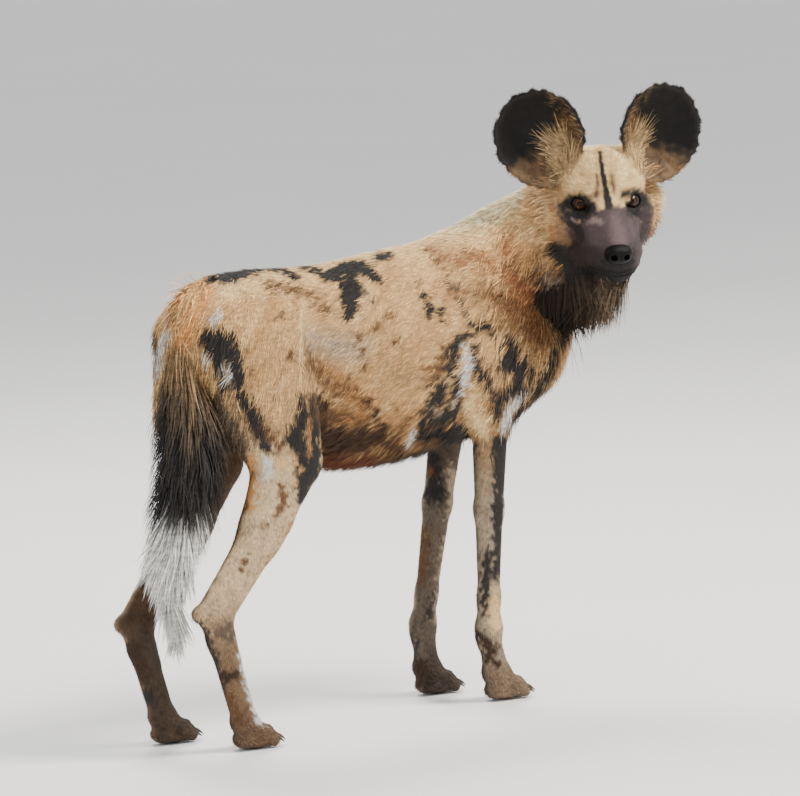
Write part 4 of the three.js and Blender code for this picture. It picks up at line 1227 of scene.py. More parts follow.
def paint_marks(tone, share, marks, q, seen, warp):
    """Lays marks over the tone where a point is seen, belongs to the marks' group and lies in their runs."""
    for group, runs in marks.items():
        own = sum(share_of(part, share) for part in GROUPS[group])
        there = seen & (own > 0.1)
        wander = 0.3 if group == "head" else 1
        strokes = [(colour, soft, run) for colour, soft, *alike in runs for run in alike]
        for colour, soft, run in strokes:
            ends = np.array(run)
            low = ends[:, :2].min(0) - ends[:, 2].max() - 2 * soft
            high = ends[:, :2].max(0) + ends[:, 2].max() + 2 * soft
            near = np.flatnonzero(there & (q > low).all(1) & (q < high).all(1))
            fuller = DARK_FULLER if np.mean(colour) < 0.1 else PALE_FULLER
            d = run_distance(q[near], run) - fuller + warp[near] * min(soft + 1, 5) * wander
            weight = (1 - smoothstep(d, -soft, soft)) * smoothstep(own[near], 0.3, 0.6)
            tone[near] = laid(tone[near], colour, weight)


def head_tone(p, _):
    """Cream brow, dark muzzle and tan cheeks, in the head's own frame."""
    x, y, z = in_head(p).T
    side = np.abs(y)
    warp = waves(p, 14, 5) * 2
    tone = np.tile(CREAM, (len(p), 1))
    tone = laid(tone, TAN, smoothstep(side, 40, 70))
    tone = laid(tone, TAN, smoothstep(waves(p, 22, 7), -0.2, 1.0) * 0.7)
    tone = laid(tone, OCHRE, smoothstep(-z, 5, 50) * 0.5)
    tone = laid(tone, BROWN, smoothstep(-z, 66, 88) * 0.8)
    front = x - 32 + 0.42 * np.maximum(side - 12, 0) + 0.3 * np.minimum(z + 20, 0)
    dark = laid(np.tile(SLATE, (len(p), 1)), BLACK * 0.4, smoothstep(-z, 60, 82))
    tone = tone + (dark - tone) * smoothstep(front + warp, -5, 4)[:, None]
    throat = run_distance(np.stack([x, z], -1), [(14, -84, 9), (-20, -86, 10), (-44, -100, 14)]) + warp
    tone = laid(tone, BLACK, (1 - smoothstep(throat, -2, 5)) * smoothstep(side, 20, 34))
    tone = laid(tone, BLACK, smoothstep(-z, 92, 104))
    tone = laid(tone, SLATE * 0.5, smoothstep(x + warp, -16, 2) * smoothstep(-z, 34, 46))
    grain = np.clip(streaks(p, head_way(-1, 0, -0.3), 9, 71), -1, 1) * (0.14 + 0.24 * smoothstep(x, 20, 40))
    tone = np.clip(tone * (1 + grain[:, None]), 0, 1)
    pale = smoothstep(waves(p, 5.5, 72), 0.3, 1.1) * smoothstep(x, 8, 24) * smoothstep(-x, -58, -40)
    tone = laid(tone, PINK_GREY, pale * smoothstep(-z, 8, 22) * 0.6)
    return laid(tone, BLACK * 0.35, 1 - smoothstep(MOUTH_GROOVE.distance(p), 1.5, 5))


EAR_BROWN = rgb(134, 106, 76)


def ear_tone(ear, p, _):
    """Inside, black with a pale inner edge and a brown root. Outside, dark with a tan root."""
    a, b, c = ear.local(p)
    warp = waves(p, 16, 8)
    inner = np.tile(BLACK * 0.5, (len(p), 1))
    lobe = smoothstep(-b + 8 * warp, 14, 40) * smoothstep(a, -34, -8)
    inner = laid(inner, EAR_BROWN, lobe * (0.6 + 0.4 * smoothstep(streaks(p, ear.axes[1], 12, 9), -0.4, 0.6)))
    edge = smoothstep(-a + 5 * warp, 22, 36) * smoothstep(-b, -36, -8)
    inner = laid(inner, BROWN, edge * 0.75)
    inner = laid(inner, DUN, smoothstep(-a + 5 * warp, -6, 10) * smoothstep(-b, -6, 24) * (1 - 0.6 * edge))
    rim = smoothstep(ear.reach(a, b), 0.9, 0.97)
    inner = laid(inner, BLACK, rim * smoothstep(b, -36, -20))
    outer = laid(np.tile(BLACK, (len(p), 1)), OCHRE, smoothstep(-b + 8 * warp, 0, 34))
    outer = laid(outer, DUN, smoothstep(warp, 0.1, 0.8) * 0.5)
    return np.where((c > ear.cup(a, b))[:, None], inner, outer)


# The tones of the legs above, below and at the paw, outside and then inside; the darker inside tones are
# painted shade on the legs' inner sides.
LEG_TONES_SHADED_INSIDE = {
    "fore": [
        (rgb(160, 124, 84), rgb(172, 152, 126), rgb(118, 94, 72)),
        (rgb(92, 76, 60), rgb(108, 94, 80), rgb(62, 50, 42)),
    ],
    "hind": [
        (rgb(220, 190, 148), rgb(136, 108, 80), rgb(104, 80, 60)),
        (rgb(96, 70, 46), rgb(78, 62, 48), rgb(78, 62, 48)),
    ],
}


def leg_tone(name, p, _):
    """Lighter above and darker towards the paw, with painted shade on the inner side, and short uneven
    streaks across it.
    """
    fore = name in FORE
    leg = LEGS[name]
    z = p[:, 2] + 8 * waves(p, 40, 15)
    turning = -330 if fore else -190
    sides = []
    for upper, lower, paw in LEG_TONES_SHADED_INSIDE["fore" if fore else "hind"]:
        tone = laid(np.tile(upper, (len(p), 1)), lower, smoothstep(-z, turning - 60, turning + 60))
        sides.append(laid(tone, paw, smoothstep(-z, -80, -40) * 0.8))
    side = -1 if name.endswith("right") else 1
    # The inner side of the leg, which gets the darker tones as painted shade.
    inside = smoothstep(-side * (p[:, 1] - leg["ball"][1]) + 3 * waves(p, 30, 16), -6, 8)
    tone = laid(*sides, inside)
    tone = laid(tone, tone * 0.5, smoothstep(waves(p * (1, 1, 2.2), 13, 17), 0.1, 0.9) * 0.55)
    tone = laid(tone, tone * 0.4, smoothstep(waves(p, 6, 19) + 0.5 * waves(p, 50, 20), 0.5, 1.1) * 0.6)
    return laid(tone, np.clip(tone * 1.3, 0, 1), smoothstep(waves(p * (1, 1, 2.2), 15, 18), 0.2, 1.0) * 0.6)


# The tail is orange above, black over its middle and white at its end, where these heights part it.
TAIL_BLACK_FROM, TAIL_WHITE_FROM = 572, 312


def tail_tone(p, _):
    z = p[:, 2] + 9 * waves(p, 20, 19)
    tone = laid(np.tile(ORANGE * 1.2, (len(p), 1)), CREAM, smoothstep(waves(p, 22, 20), -0.6, 0.6) * 0.8)
    tone = laid(tone, BLACK, smoothstep(-z, -TAIL_BLACK_FROM - 26, -TAIL_BLACK_FROM + 12))
    fleck = smoothstep(streaks(p, UP, 26, 22), 0.2, 0.9) * smoothstep(p[:, 2], 380, 440)
    tone = laid(tone, DUN * 0.6, fleck * 0.7)
    return laid(tone, WHITE, smoothstep(-z, -TAIL_WHITE_FROM - 12, -TAIL_WHITE_FROM + 12))


FLANK_WAY = point(-1, 0, -0.9)


def torso_tone(p, n):
    """Sandy above, tan on the flanks, dark below and between the legs, with streaks along the coat."""
    x, y, z = p.T
    tone = laid(np.tile(TAN, (len(p), 1)), SAND, smoothstep(z + 12 * waves(p, 90, 23), 520, 640))
    tone = laid(tone, OCHRE, smoothstep(-z, -470, -400) * 0.6)
    tone = laid(tone, OCHRE, smoothstep(streaks(p, FLANK_WAY, 34, 24), 0.0, 1.0) * 0.38)
    tone = laid(tone, CREAM, smoothstep(streaks(p, FLANK_WAY, 26, 25), 0.1, 1.0) * 0.35)
    tone = laid(tone, BROWN, smoothstep(streaks(p, FLANK_WAY, 18, 26), 0.5, 1.2) * 0.22)
    tone = laid(tone, UMBER, smoothstep(-n[:, 2], 0.5, 0.85) * smoothstep(-z, -425, -385))
    inner = smoothstep(-np.abs(y), -42, -24) * smoothstep(-z, -480, -430)
    return laid(tone, UMBER, inner * 0.8)


THROAT_WAY = unit(THROAT[1] - THROAT[0])
THROAT_SIDE = unit(np.cross(UP, THROAT_WAY))
THROAT_DOWN = -np.cross(THROAT_WAY, THROAT_SIDE)


def round_throat(p):
    """How far along the throat a point lies, and its turn away from straight down."""
    q = p - THROAT[0]
    along = q @ THROAT_WAY / np.linalg.norm(THROAT[1] - THROAT[0])
    return along, np.arctan2(q @ THROAT_SIDE, q @ THROAT_DOWN)


def neck_tone(p, _):
    """Sandy, redder low down, and dark under the throat."""
    tone = laid(np.tile(SAND, (len(p), 1)), CREAM, smoothstep(p[:, 2], 640, 720))
    low = smoothstep(-p[:, 2], -690, -610)
    tone = laid(tone, OCHRE, low * 0.6)
    tone = laid(tone, RUST, low * smoothstep(waves(p, 40, 31), -0.5, 0.9) * 0.4)
    tone = laid(tone, BROWN, smoothstep(streaks(p, point(-1, 0, -1.2), 14, 32), 0.2, 1.1) * 0.35)
    along, turn = round_throat(p)
    dark = smoothstep(-np.abs(turn), -1.85, -1.5) * smoothstep(along, 0.0, 0.2)
    return laid(tone, UMBER * 0.6, dark)


def coat_tone(p, n, share):
    """The coat's colour at points of the skin."""
    tones = {
        "torso": torso_tone,
        "neck": neck_tone,
        "tail": tail_tone,
        "head": head_tone,
        **{name: partial(ear_tone, ear) for name, ear in EARS.items()},
        **{name: partial(leg_tone, name) for name in LEG_NAMES},
    }
    tone = np.zeros_like(p)
    for i, part in enumerate(PARTS):
        near = np.flatnonzero(share[i] > 0.01)
        tone[near] += tones[part](p[near], n[near]) * share[i][near, None]
    warp = waves(p, 11, 2)
    seen = n @ CAMERA_BACK > -0.12
    paint_marks(tone, share, NEAR_MARKS, photo_pixels(p), seen, warp)
    paint_marks(tone, share, HIDDEN_MARKS, p[:, [0, 2]], ~seen & (p[:, 1] > -20), warp * 2)
    head = share_of("head", share)
    for s in EYES.values():
        lids = 1 - smoothstep(eye_opening(s, p), 1.5, 4)
        tone = laid(tone, BLACK * 0.4, lids * smoothstep(head, 0.3, 0.6))
    fleck = smoothstep(waves(p, 7, 3) + 0.4 * waves(p, 60, 4), 0.75, 1.3) * (1 - head)
    return laid(tone, tone * 0.6, fleck)


def part_shares(p):
    """How much each point belongs to each part."""
    apart = body_distance(p, parts=True)[1]
    share = np.exp(-(apart - apart.min(0)) / 6)
    return share / share.sum(0)


def lie_of_coat(p, share):
    """The way that the hair points at each place, before it is laid along the skin."""
    x, y, z = p.T
    one = np.ones_like(x)

    def way(a, b, c):
        return unit(np.stack([a * one, b * one, c * one], -1))

    torso = way(-1, 0, -0.5)
    torso += 1.6 * smoothstep(-x, -110, -10)[:, None] * way(-0.2, 0, -1)
    torso += 1.2 * (smoothstep(x, 430, 470) * smoothstep(-z, -560, -500))[:, None] * way(-0.1, 0, -1)
    torso += 1.2 * (smoothstep(-x, -190, -150) * smoothstep(-z, -580, -520))[:, None] * way(-0.1, 0, -1)
    torso += 1.5 * smoothstep(x, 560, 610)[:, None] * way(0, 0, -1)
    paw = smoothstep(-z, -52, -30)[:, None]
    ways = {
        "torso": unit(torso),
        "neck": np.tile(unit(unit(NECK[0][0] - NECK[4][0]) + (0, 0, -0.45)), (len(p), 1)),
        "tail": way(-0.12, 0, -1) + 2 * smoothstep(z, 590, 620)[:, None] * way(-1, 0, -0.3),
        "head": unit(unit(p - head_point(96, 0, -42)) + 0.35 * head_way(-1, 0, -0.4)),
        **{name: unit(p - ear.centre + ear.axes[1] * 80) for name, ear in EARS.items()},
        **{name: way(-0.12, 0, -1) * (1 - paw) + way(1, 0, -0.55) * paw for name in LEG_NAMES},
    }
    return sum(ways[part] * share[i][:, None] for i, part in enumerate(PARTS))


# The unwrap that the coat's colours lie on has four columns and three rows of cells, one for each part.
CELL_COLUMNS, CELL_ROWS, CELL_MARGIN = 4, 3, 0.03
PATCH = 0.003


def around(a, b):
    """The turn about an axis, from 0 to 1."""
    return np.arctan2(a, b) / (2 * math.pi) + 0.5


def leg_unwrap(name, p):
    leg = LEGS[name]
    line = np.array([leg["ball"], leg.get("wrist", leg.get("hock")), leg.get("elbow", leg.get("knee"))])
    middle = np.interp(p[:, 2], line[:, 2], line[:, 0])
    return p[:, 2] / 580, around(p[:, 1] - leg["ball"][1], p[:, 0] - middle)


def ear_unwrap(ear, p):
    a, b, c = ear.local(p)
    return a / 150 * 0.48 + np.where(c > ear.cup(a, b), 0.25, 0.75), b / 160 + 0.5


def unwrap(p, share):
    """The spot of each root on the unwrap: along its part by round it."""
    x, y, z = p.T
    h = in_head(p)
    local = {
        "torso": ((x + 60) / 700, around(y, z - 510)),
        "neck": ((x - 470) / 260, around(y + 60, z - 630)),
        "tail": ((z - 120) / 540, around(x + 45, y + 8)),
        "head": ((h[:, 0] + 130) / 240, around(h[:, 1], h[:, 2] + 30)),
        **{name: ear_unwrap(ear, p) for name, ear in EARS.items()},
        **{name: leg_unwrap(name, p) for name in LEG_NAMES},
    }
    part = share.argmax(0)
    spot = np.zeros((len(p), 2))
    for i, name in enumerate(PARTS):
        own = part == i
        cell = np.array([i % CELL_COLUMNS, i // CELL_COLUMNS])
        inside = np.stack([np.clip(c[own], 0, 1) for c in local[name]], -1)
        spot[own] = (cell + inside * (1 - 2 * CELL_MARGIN) + CELL_MARGIN) / (CELL_COLUMNS, CELL_ROWS)
    return spot


def share_of(part, share):
    return share[PARTS.index(part)]


# How far the lie of the coat wanders, in radians.
SWIRL = 0.25


class Roots:
    """Places on the skin where tufts grow, with what is known of each."""

    def __init__(self, density):
        corners = skin_points[skin_quads]
        area = np.cross(corners[:, 2] - corners[:, 0], corners[:, 3] - corners[:, 1])
        wanted = np.linalg.norm(area, axis=1) / 2 * density[skin_quads].mean(1)
        pick = np.repeat(np.arange(len(wanted)), np.floor(wanted + rng.random(len(wanted))).astype(int))
        u, v = rng.random((2, len(pick), 1))
        weights = ((1 - u) * (1 - v), u * (1 - v), u * v, (1 - u) * v)
        ids = skin_quads[pick]
        self.p = sum(w * skin_points[ids[:, k]] for k, w in enumerate(weights))
        self.n = unit(sum(w * skin_normals[ids[:, k]] for k, w in enumerate(weights)))
        self.share = sum(w[:, 0] * skin_share[:, ids[:, k]] for k, w in enumerate(weights))
        self.lie(sum(w * skin_flow[ids[:, k]] for k, w in enumerate(weights)))

    def __len__(self):
        return len(self.p)

    def between(self, low, high):
        """A random number for each root."""
        return rng.uniform(low, high, len(self))

    def part(self, name):
        """How much each root belongs to a part."""
        return share_of(name, self.share)

    def lie(self, way, turn=0.2):
        """Lays the tufts along the skin towards a way, each turned a little at random."""
        flat = unit(way - self.n * (way * self.n).sum(1, keepdims=True))
        angle = rng.normal(0, turn, (len(flat), 1)) + SWIRL * waves(self.p, 45, 41)[:, None]
        self.flow = flat * np.cos(angle) + np.cross(self.n, flat) * np.sin(angle)

    def keep(self, mask):
        for name in ("p", "n", "flow"):
            setattr(self, name, getattr(self, name)[mask])
        self.share = self.share[:, mask]

    def tone(self, spread=0.2, ahead=0.0):
        """The coat's colour at each root, or further ahead along its tuft."""
        shade = np.exp(rng.normal(0, spread, (len(self), 1)))
        at = self.p + self.flow * np.reshape(ahead, (-1, 1))
        return np.clip(coat_tone(at, self.n, self.share) * shade, 0, 1)


# A tuft is a thin closed spike of three sides. It has a ring of three points at each place along it.
SHORT, BENT, LONG = (0.0,), (0.0, 0.5), (0.0, 0.34, 0.7)
ROOT_DEPTH = 1.2
TUFT_FLATNESS = 0.22
# How wide a tuft is at its root, beside its full width, and the shade along it, from root to tip: the dark
# root is partly the hair's own banding and partly painted shade in the gaps between tufts.
ROOT_WIDTH = 0.75
ROOT_SHADE, SHADE_GAIN, TIP_SHADE = 0.58, 0.5, 1.12
PIECE_LIMIT = 190000


def grow(name, roots, length, width, rise, tone, rings=SHORT, droop=0.0, curl=0.0):
    """Joined tufts of one kind, split into pieces of fair size, with a patch of the unwrap for each."""
    side = unit(np.cross(roots.n, roots.flow))
    bend = rng.normal(0, 1, len(roots)) * curl
    points, shades, spots = [], [], []

    def middle(u):
        lift = (rise * u * (1 - 0.45 * u))[:, None]
        run = roots.flow * u + roots.n * lift + side * (bend * u * u)[:, None] - UP * droop * u * u
        return roots.p - roots.n * ROOT_DEPTH * (1 - u) + run * length[:, None]

    for u in rings:
        half = (width / 2 * (ROOT_WIDTH if u == 0 else 1 - u**2))[:, None]
        for across, high in ((-1, 0), (1, 0), (0, 2)):
            points.append(middle(u) + side * half * across + roots.n * half * high * TUFT_FLATNESS)
            shades.append(ROOT_SHADE + SHADE_GAIN * u)
            spots.append((across * 0.4, u * 0.8 - 0.5))
    points.append(middle(1.0))
    shades.append(TIP_SHADE)
    spots.append((0, 0.5))
    faces = [(0, 2, 1)]
    last = 3 * (len(rings) - 1)
    for r in range(0, last, 3):
        for a, b in ((0, 1), (1, 2), (2, 0)):
            faces += [(r + a, r + b, r + 3 + b), (r + a, r + 3 + b, r + 3 + a)]
    faces = np.array(faces + [(last + a, last + b, last + 3) for a, b in ((0, 1), (1, 2), (2, 0))])
    points = np.stack(points, 1)
    # Darker roots: partly the hair's own banding and partly painted shade between the tufts.
    tones = np.clip(tone[:, None] * np.array(shades)[:, None], 0, 1)
    spots = unwrap(roots.p, roots.share)[:, None] + np.array(spots) * PATCH
    count = math.ceil(len(roots) * len(faces) / PIECE_LIMIT)
    for k, group in enumerate(np.array_split(np.arange(len(roots)), count)):
        corners = (np.arange(len(group))[:, None, None] * points.shape[1] + faces).reshape(-1, 3)
        title = f"{name}_{k + 1}" if count > 1 else name
        vertices, shade = (each[group].reshape(-1, 3) for each in (points, tones))
        made = mesh_object(title, vertices, corners, coat_material, (), False, shade)
        layer = made.data.uv_layers.new(name="OFBake")
        layer.data.foreach_set("uv", spots[group].reshape(-1, 2)[corners.ravel()].astype(np.float32).ravel())


# Length of the short coat in millimetres and how many tufts grow on a square millimetre, by part.
SHORT_COAT = {
    "torso": (17, 0.165), "neck": (20, 0.15), "tail": (16, 0.12), "head": (9, 0.55), "ear_right": (6, 0.36),
    "ear_left": (6, 0.36), **{name: (8.5, 0.25) for name in LEG_NAMES},
}


def short_coat():
    """Short flat hair over the whole animal, finest on the muzzle and the paws."""
    length, density = np.array([SHORT_COAT[part] for part in PARTS]).T
    roots = Roots(density @ skin_share)
    bare = (nose_shape(roots.p) < 1.5) | (roots.p[:, 2] < 4.5)
    bare |= MOUTH_GROOVE.distance(roots.p) < 1.6
    for s in EYES.values():
        bare |= eye_opening(s, roots.p) < 2.0
    roots.keep(~bare)
    tuft = length @ roots.share * roots.between(0.7, 1.2)
    tuft *= 1 - 0.62 * roots.part("head") * smoothstep(in_head(roots.p)[:, 0], 14, 48)
    tuft *= 0.35 + 0.65 * smoothstep(MOUTH_GROOVE.distance(roots.p), 2, 9)
    tuft *= 1 - 0.3 * smoothstep(-roots.p[:, 2], -70, -30)
    for s in EYES.values():
        tuft *= 0.4 + 0.6 * smoothstep(eye_opening(s, roots.p), 2, 14)
    grow("coat_short", roots, tuft, 0.5 + 0.08 * tuft, roots.between(0.1, 0.34),
         roots.tone(0.24, roots.between(0.1, 1.0) * tuft))


# The hanging tail from its end up: height, place ahead, half thickness of the core and out to the hair.
TAIL_TABLE = np.array([(c[2], c[0], core, tip) for c, core, tip in TAIL[:1:-1]]).T


def tail_brush():
    """Long hair that hangs all round the tail."""
    thinner = 0.6 * smoothstep(skin_points[:, 2], 560, 620)
    roots = Roots(0.2 * smoothstep(share_of("tail", skin_share), 0.3, 0.7) * (1 - thinner))
    z = roots.p[:, 2]
    length = np.interp(z, (180, 240, 540, 640), (50, 88, 84, 30)) * roots.between(0.6, 1.1)
    heights, middles, cores, tips = TAIL_TABLE
    tip = z - 0.92 * length
    spread = np.interp(tip, heights, tips) * roots.between(0.35, 1.25) - np.interp(z, heights, cores)
    slope = np.interp(tip, heights, middles) - np.interp(z, heights, middles)
    roots.lie(np.stack([slope / (0.92 * length), 0 * z, -np.ones(len(z))], -1), 0.1)
    rise = np.maximum(spread, 1) / (0.55 * length)
    tone = roots.tone(0.22, 0.74 * length)
    grow("coat_tail", roots, length, roots.between(2, 3.6), rise, tone, LONG, 0, 0.05)


def ruff():
    """Long hair that hangs from the throat and the jaw."""
    along, turn = round_throat(skin_points)
    neck, head = (share_of(part, skin_share) for part in ("neck", "head"))
    face = head * smoothstep(in_head(skin_points)[:, 2], -92, -80)
    ends = smoothstep(along, 0.02, 0.22) * smoothstep(-along, -1.7, -1.3)
    roots = Roots(0.2 * (neck + head) * ends * smoothstep(-np.abs(turn), -1.5, -1.2) * (1 - face))
    along, turn = round_throat(roots.p)
    out = THROAT_DOWN * np.cos(turn)[:, None] + THROAT_SIDE * np.sin(turn)[:, None]
    roots.lie(out * 0.3 + THROAT_WAY * 0.12 - UP + roots.n * 0.2, 0.12)
    length = np.interp(along, (0.3, 1.2), (86, 66)) * (1 - 0.4 * np.abs(turn) / 1.45)
    length = length * roots.between(0.5, 1.1)
    length *= 1 - 0.6 * smoothstep(in_head(roots.p)[:, 0], -10, 50) * roots.part("head")
    light = smoothstep(streaks(roots.p, UP, 30, 51), -0.9, 0.6) * smoothstep(along, 0.4, 0.95)
    tone = laid(np.tile(UMBER * 0.3, (len(roots), 1)), DUN, light * 0.9)
    tone = tone * roots.between(0.7, 1.3)[:, None]
    grow("coat_ruff", roots, length, roots.between(2, 3.4), roots.between(0.2, 0.7), tone, LONG, 0.35, 0.1)


def cheek_fringe():
    """Longer hair that stands out a little behind the cheeks."""
    x, y, z = in_head(skin_points).T
    band = smoothstep(-x, 20, 45) * smoothstep(x, -110, -90)
    band = band * smoothstep(z, -95, -70) * smoothstep(-z, -50, -20)
    roots = Roots(0.16 * band * smoothstep(np.abs(y), 44, 58) * share_of("head", skin_share))
    y = in_head(roots.p)[:, 1]
    roots.lie(np.stack([-0.8 + 0 * y, 0.4 * np.sign(y), -0.55 + 0 * y], -1) @ HEAD_TURN.T, 0.25)
    length = 29 * roots.between(0.5, 1.15)
    grow("coat_cheek", roots, length, roots.between(1.6, 2.6), roots.between(0.25, 0.75),
         roots.tone(0.22, 0.4 * length), BENT, 0.1, 0.08)


def neck_mane():
    """The deeper coat of the neck and the shoulders."""
    x = skin_points[:, 0]
    own = share_of("neck", skin_share) + share_of("torso", skin_share) * smoothstep(x, 420, 540)
    roots = Roots(0.045 * own)
    length = 27 * roots.between(0.7, 1.15)
    grow("coat_neck", roots, length, roots.between(1.6, 2.6), roots.between(0.15, 0.36),
         roots.tone(0.24, roots.between(0.1, 0.9) * length), BENT, 0.1, 0.1)


def fringes():
    """Longer hair under the belly, behind the elbows and thighs and along the breast."""
    x, y, z = skin_points.T
    below = smoothstep(-skin_normals[:, 2], 0.3, 0.7) * smoothstep(-z, -470, -420)
    behind = smoothstep(-skin_normals[:, 0], 0.35, 0.8) * smoothstep(-x, -60, -20) * smoothstep(z, 380, 430)
    breast = smoothstep(x, 560, 590)
    roots = Roots(0.045 * share_of("torso", skin_share) * np.clip(below + behind + breast, 0, 1))
    length = 25 * roots.between(0.6, 1.15)
    grow("coat_fringe", roots, length, roots.between(1.6, 2.8), roots.between(0.2, 0.45),
         roots.tone(0.22, 0.5 * length), BENT, 0.15, 0.1)


def ear_fan(name, ear, inside):
    """Pale hair that fans out over the hollow of an ear."""
    a, b, _ = ear.local(skin_points)
    root = smoothstep(-a, 4, 12) * smoothstep(a, -42, -34) * smoothstep(-b, 8, 20)
    root *= smoothstep(-ear.reach(a, b), -1.0, -0.92)
    roots = Roots(0.4 * share_of(name, skin_share) * inside * root)
    a, b, _ = ear.local(roots.p)
    fan = np.stack([0.1 + 0.03 * (a + 34), 0.95 + 0 * b, 0 * a], -1)
    roots.lie(fan @ ear.axes, 0.22)
    length = roots.between(22, 54)
    tone = laid(roots.tone(0.35), CREAM, roots.between(0, 1) ** 1.5)
    width, rise = roots.between(0.8, 1.4), roots.between(0.2, 0.5)
    grow("coat_" + name, roots, length, width, rise, tone, BENT, 0.05, 0.12)


def ear_edge(name, ear, inside):
    """Short hair along the inner edge of an ear."""
    a, b, _ = ear.local(skin_points)
    edge = smoothstep(-a, 26, 38) * smoothstep(b, -40, -20)
    roots = Roots(0.3 * share_of(name, skin_share) * inside * edge)
    roots.lie(np.tile((0.6, 0.8, 0.0), (len(roots), 1)) @ ear.axes, 0.25)
    tone = laid(roots.tone(0.3), TAN, roots.between(0, 1) ** 3 * 0.7)
    length, width = roots.between(9, 18), np.full(len(roots), 1.2)
    grow("coat_edge_" + name, roots, length, width, roots.between(0.1, 0.3), tone)


def ear_rim(name, ear):
    """Short hair in clumps on the rim of an ear, dark but for its root."""
    a, b, _ = ear.local(skin_points)
    roots = Roots(0.8 * share_of(name, skin_share) * smoothstep(ear.reach(a, b), 0.93, 1.0))
    roots.lie(roots.p - ear.centre, 0.2)
    a, b, _ = ear.local(roots.p)
    turn = around(a, b)
    clump = 1 + 0.5 * np.sin(turn * 2 * math.pi * 19 + 2 * np.sin(turn * 40))
    length = roots.between(3, 6) * clump
    tone = laid(roots.tone(), BLACK * 0.7, smoothstep(b, -40, -20))
    grow("coat_rim_" + name, roots, length, np.full(len(roots), 1.3), roots.between(0, 0.2), tone)


def ear_tufts():
    for name, ear in EARS.items():
        a, b, c = ear.local(skin_points)
        inside = smoothstep(c - ear.cup(a, b), 0.5, 1.5) * smoothstep(skin_normals @ ear.axes[2], 0, 0.2)
        ear_fan(name, ear, inside)
        ear_edge(name, ear, inside)
        ear_rim(name, ear)


def toe_hair():
    """Hair that lies over the toes and hangs between them."""
    z = skin_points[:, 2]
    own = sum(share_of(name, skin_share) for name in LEG_NAMES)
    roots = Roots(0.2 * own * smoothstep(-z, -50, -36) * smoothstep(z, 8, 14))
    roots.keep(roots.p[:, 2] > 9)
    length = roots.between(4, 8)
    grow("coat_toes", roots, length, np.full(len(roots), 1.6), roots.between(0.15, 0.4),
         roots.tone(0.2), BENT, 0.1, 0.1)


def closed_rings(rings, sides):
    """The triangles over rings of points that one point closes at each end."""
    faces = [(0, 1 + (j + 1) % sides, 1 + j) for j in range(sides)]
    for r, j in product(range(rings - 1), range(sides)):
        a, b = 1 + r * sides + j, 1 + r * sides + (j + 1) % sides
        faces += [(a, b, b + sides), (a, b + sides, a + sides)]
    last = 1 + rings * sides
    faces += [(last - sides + j, last - sides + (j + 1) % sides, last) for j in range(sides)]
    return np.array(faces)


def turned_mesh(centre, way, reach, sides=48, rings=38, crowding=1.3):
    """A closed round shape about an axis, where reach gives its radius. Its rings crowd to the front."""
    side = unit(np.cross(way, UP))
    over = np.cross(side, way)
    angle = np.linspace(0, math.pi, rings + 2) ** crowding / math.pi ** (crowding - 1)
    turn = np.arange(sides) / sides * 2 * math.pi
    a, t = (np.expand_dims(v, -1) for v in np.meshgrid(angle[1:-1], turn, indexing="ij"))
    ways = np.cos(a) * way + np.sin(a) * (np.cos(t) * side + np.sin(t) * over)
    front = centre + way * reach(np.float64(0))
    back = centre - way * reach(np.float64(math.pi))
    points = np.concatenate([[front], (centre + ways * reach(a)).reshape(-1, 3), [back]])
    return points, closed_rings(rings, sides)[:, ::-1]


IRIS_ANGLE, PUPIL_ANGLE = 0.66, 0.32


def add_eye(name, s):
    """An eyeball with a bulging clear front, a brown iris and a round pupil, looking at the camera."""
    centre = eye_centre(s)
    gaze = unit(CAMERA_BACK - 0.1 * UP)

    def reach(angle):
        return EYE_RADIUS - 0.3 + 1.1 * (1 - smoothstep(angle, 0, IRIS_ANGLE + 0.12))

    points, faces = turned_mesh(centre, gaze, reach)
    way = unit(points - centre)
    angle = np.arccos(np.clip(way @ gaze, -1, 1))
    ray = waves(way * 10, 1.1, 61)
    tone = laid(np.tile(rgb(34, 19, 9), (len(points), 1)), rgb(88, 50, 22), 0.5 + 0.5 * np.clip(ray, -1, 1))
    tone = laid(tone, rgb(30, 18, 10), smoothstep(angle, IRIS_ANGLE - 0.14, IRIS_ANGLE))
    tone = laid(tone, rgb(40, 30, 26), smoothstep(angle, IRIS_ANGLE + 0.02, IRIS_ANGLE + 0.2))
    tone = laid(tone, rgb(2, 2, 2), 1 - smoothstep(angle, PUPIL_ANGLE - 0.03, PUPIL_ANGLE + 0.03))
    mesh_object(name, points, faces, eye_material, [name], tone=tone)


def nose_distance(p):
    """The nose pad with its nostrils, the slits beside them and the groove between."""
    q = in_head(p) - NOSE_AT
    d = nose_shape(p)
    for s in (-1, 1):
        hole = Chain([
            Rod(point(20, s * 8.5, -3), point(9, s * 9.5, -1), 4.6, 3.6),
            Rod(point(16, s * 10, -3), point(12, s * 19, -4), 3.2, 1.0),
        ], 2)
        d = smooth_max(d, -hole.distance(q), 1.6)
    groove = Rod(point(18, 0, 9), point(15.5, 0, -16), 1.1, 1.5)
    return smooth_max(d, -groove.distance(q), 1.6)


# The half sizes of the block that holds the nose, half the grid round it and the grid's step.
NOSE_BLOCK = (24, 26, 22)
NOSE_GRID, NOSE_STEP = 36, 0.9


def add_nose():
    low = head_point(*NOSE_AT) - NOSE_GRID
    axes = tuple(np.arange(low[k], low[k] + 2 * NOSE_GRID, NOSE_STEP) for k in range(3))
    d = np.full(tuple(len(a) for a in axes), FAR)
    for i, x in enumerate(axes[0]):
        row = np.stack(np.meshgrid([x], axes[1], axes[2], indexing="ij"), -1)[0]
        near = (np.abs(in_head(row) - NOSE_AT) < NOSE_BLOCK).all(-1)
        if near.any():
            d[i][near] = nose_distance(row[near])
    p, quads = largest(*surface_nets(axes, d))
    p = relaxed(p, quads, nose_distance, 2)
    mesh_object("nose", p, quads, nose_material, ["nose"])


CLAW_RINGS, CLAW_SIDES = 9, 12
CLAW_RADIUS = 3.2


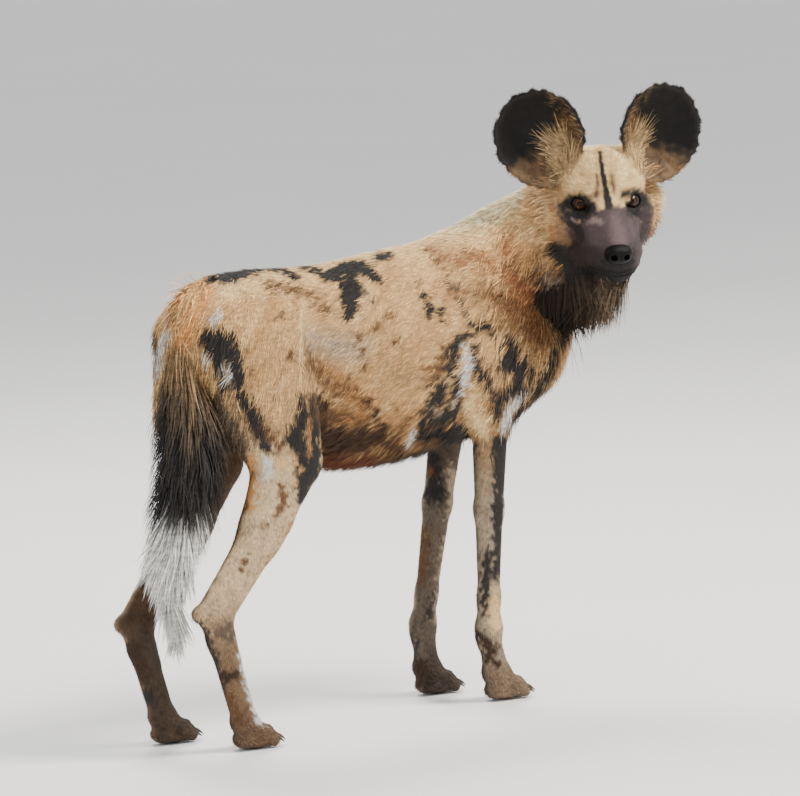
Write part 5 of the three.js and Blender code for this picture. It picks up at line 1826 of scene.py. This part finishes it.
def claw_points(start, across):
    """A claw that curves down from its root and grows thinner to its tip."""
    turn = np.arange(CLAW_SIDES) / CLAW_SIDES * 2 * math.pi
    points = [start - (3, 0, 0)]
    for t in np.linspace(0, 1, CLAW_RINGS):
        run = CLAW_LENGTH * 0.86 * t * point(1, 0.1 * np.sign(across), 0)
        middle = start + run + (0, 0, 1.2 - 8.5 * t * t)
        size = CLAW_RADIUS * math.sqrt(1 - 0.93 * t)
        points += [middle + size * point(0, 0.62 * math.cos(a), math.sin(a)) for a in turn]
    return np.array([*points, middle + (0.8, 0, -0.4)])


def add_claws():
    """Short dark claws, each in its own place at a toe's tip."""
    faces = closed_rings(CLAW_RINGS, CLAW_SIDES)
    for name, (i, (across, ahead)) in product(LEG_NAMES, enumerate(TOES, 1)):
        points = claw_points(LEGS[name]["ball"] + (ahead - 8, across, -27), across)
        title = f"claw_{name}_{i}"
        mesh_object(title, points, faces, claw_material, [title])


def plain_material(name, colour, roughness, grain, spread, bump, specular):
    """One colour broken up by noise in shade, roughness and height."""
    material, tree, shader = new_material(name, roughness, specular)
    shade = ranged(tree, noise_node(tree, grain, 4, 0.6), 1 - spread, 1 + spread)
    shaded = scaled_colour(tree, one_colour(tree, colour), shade)
    tree.links.new(shaded, shader.inputs["Base Color"])
    rough = ranged(tree, noise_node(tree, grain * 0.5), roughness - 0.08, roughness + 0.1)
    tree.links.new(rough, shader.inputs["Roughness"])
    add_bump(tree, shader, noise_node(tree, grain * 1.6, 2, 0.5), bump)
    return material


add_camera()
add_studio()
skin_points, skin_quads, skin_normals = make_skin()
skin_share = part_shares(skin_points)
skin_flow = lie_of_coat(skin_points, skin_share)
FLESH = ["torso", "neck", "tail", "head", "ear_right", "ear_left", *("leg_" + n for n in LEG_NAMES)]
skin_material = toned_material("skin", 0.72, 260, 0.0006)
coat_material = toned_material("coat", 0.66, 420, 0.0002, 0.3)
eye_material = toned_material("eye", 0.14, 700, 0.00002)
eye_inputs = eye_material.node_tree.nodes["Principled BSDF"].inputs
put(eye_inputs, Specular_IOR_Level=0.1, Coat_Weight=0.14, Coat_Roughness=0.03)
nose_material = plain_material("nose", rgb(8, 7, 7), 0.44, 900, 0.3, 0.0004, 0.12)
claw_material = plain_material("claw", rgb(52, 44, 36), 0.4, 300, 0.3, 0.0001, 0.4)
skin_tone = coat_tone(skin_points, skin_normals, skin_share)
# The skin under the coat is laid darker, as painted shade in the gaps between the tufts.
mesh_object("skin", skin_points, skin_quads, skin_material, FLESH, tone=skin_tone * 0.6)
for eye_name, eye_side in EYES.items():
    add_eye("eye_" + eye_name, eye_side)
add_nose()
add_claws()
short_coat()
tail_brush()
ruff()
cheek_fringe()
neck_mane()
fringes()
ear_tufts()
toe_hair()
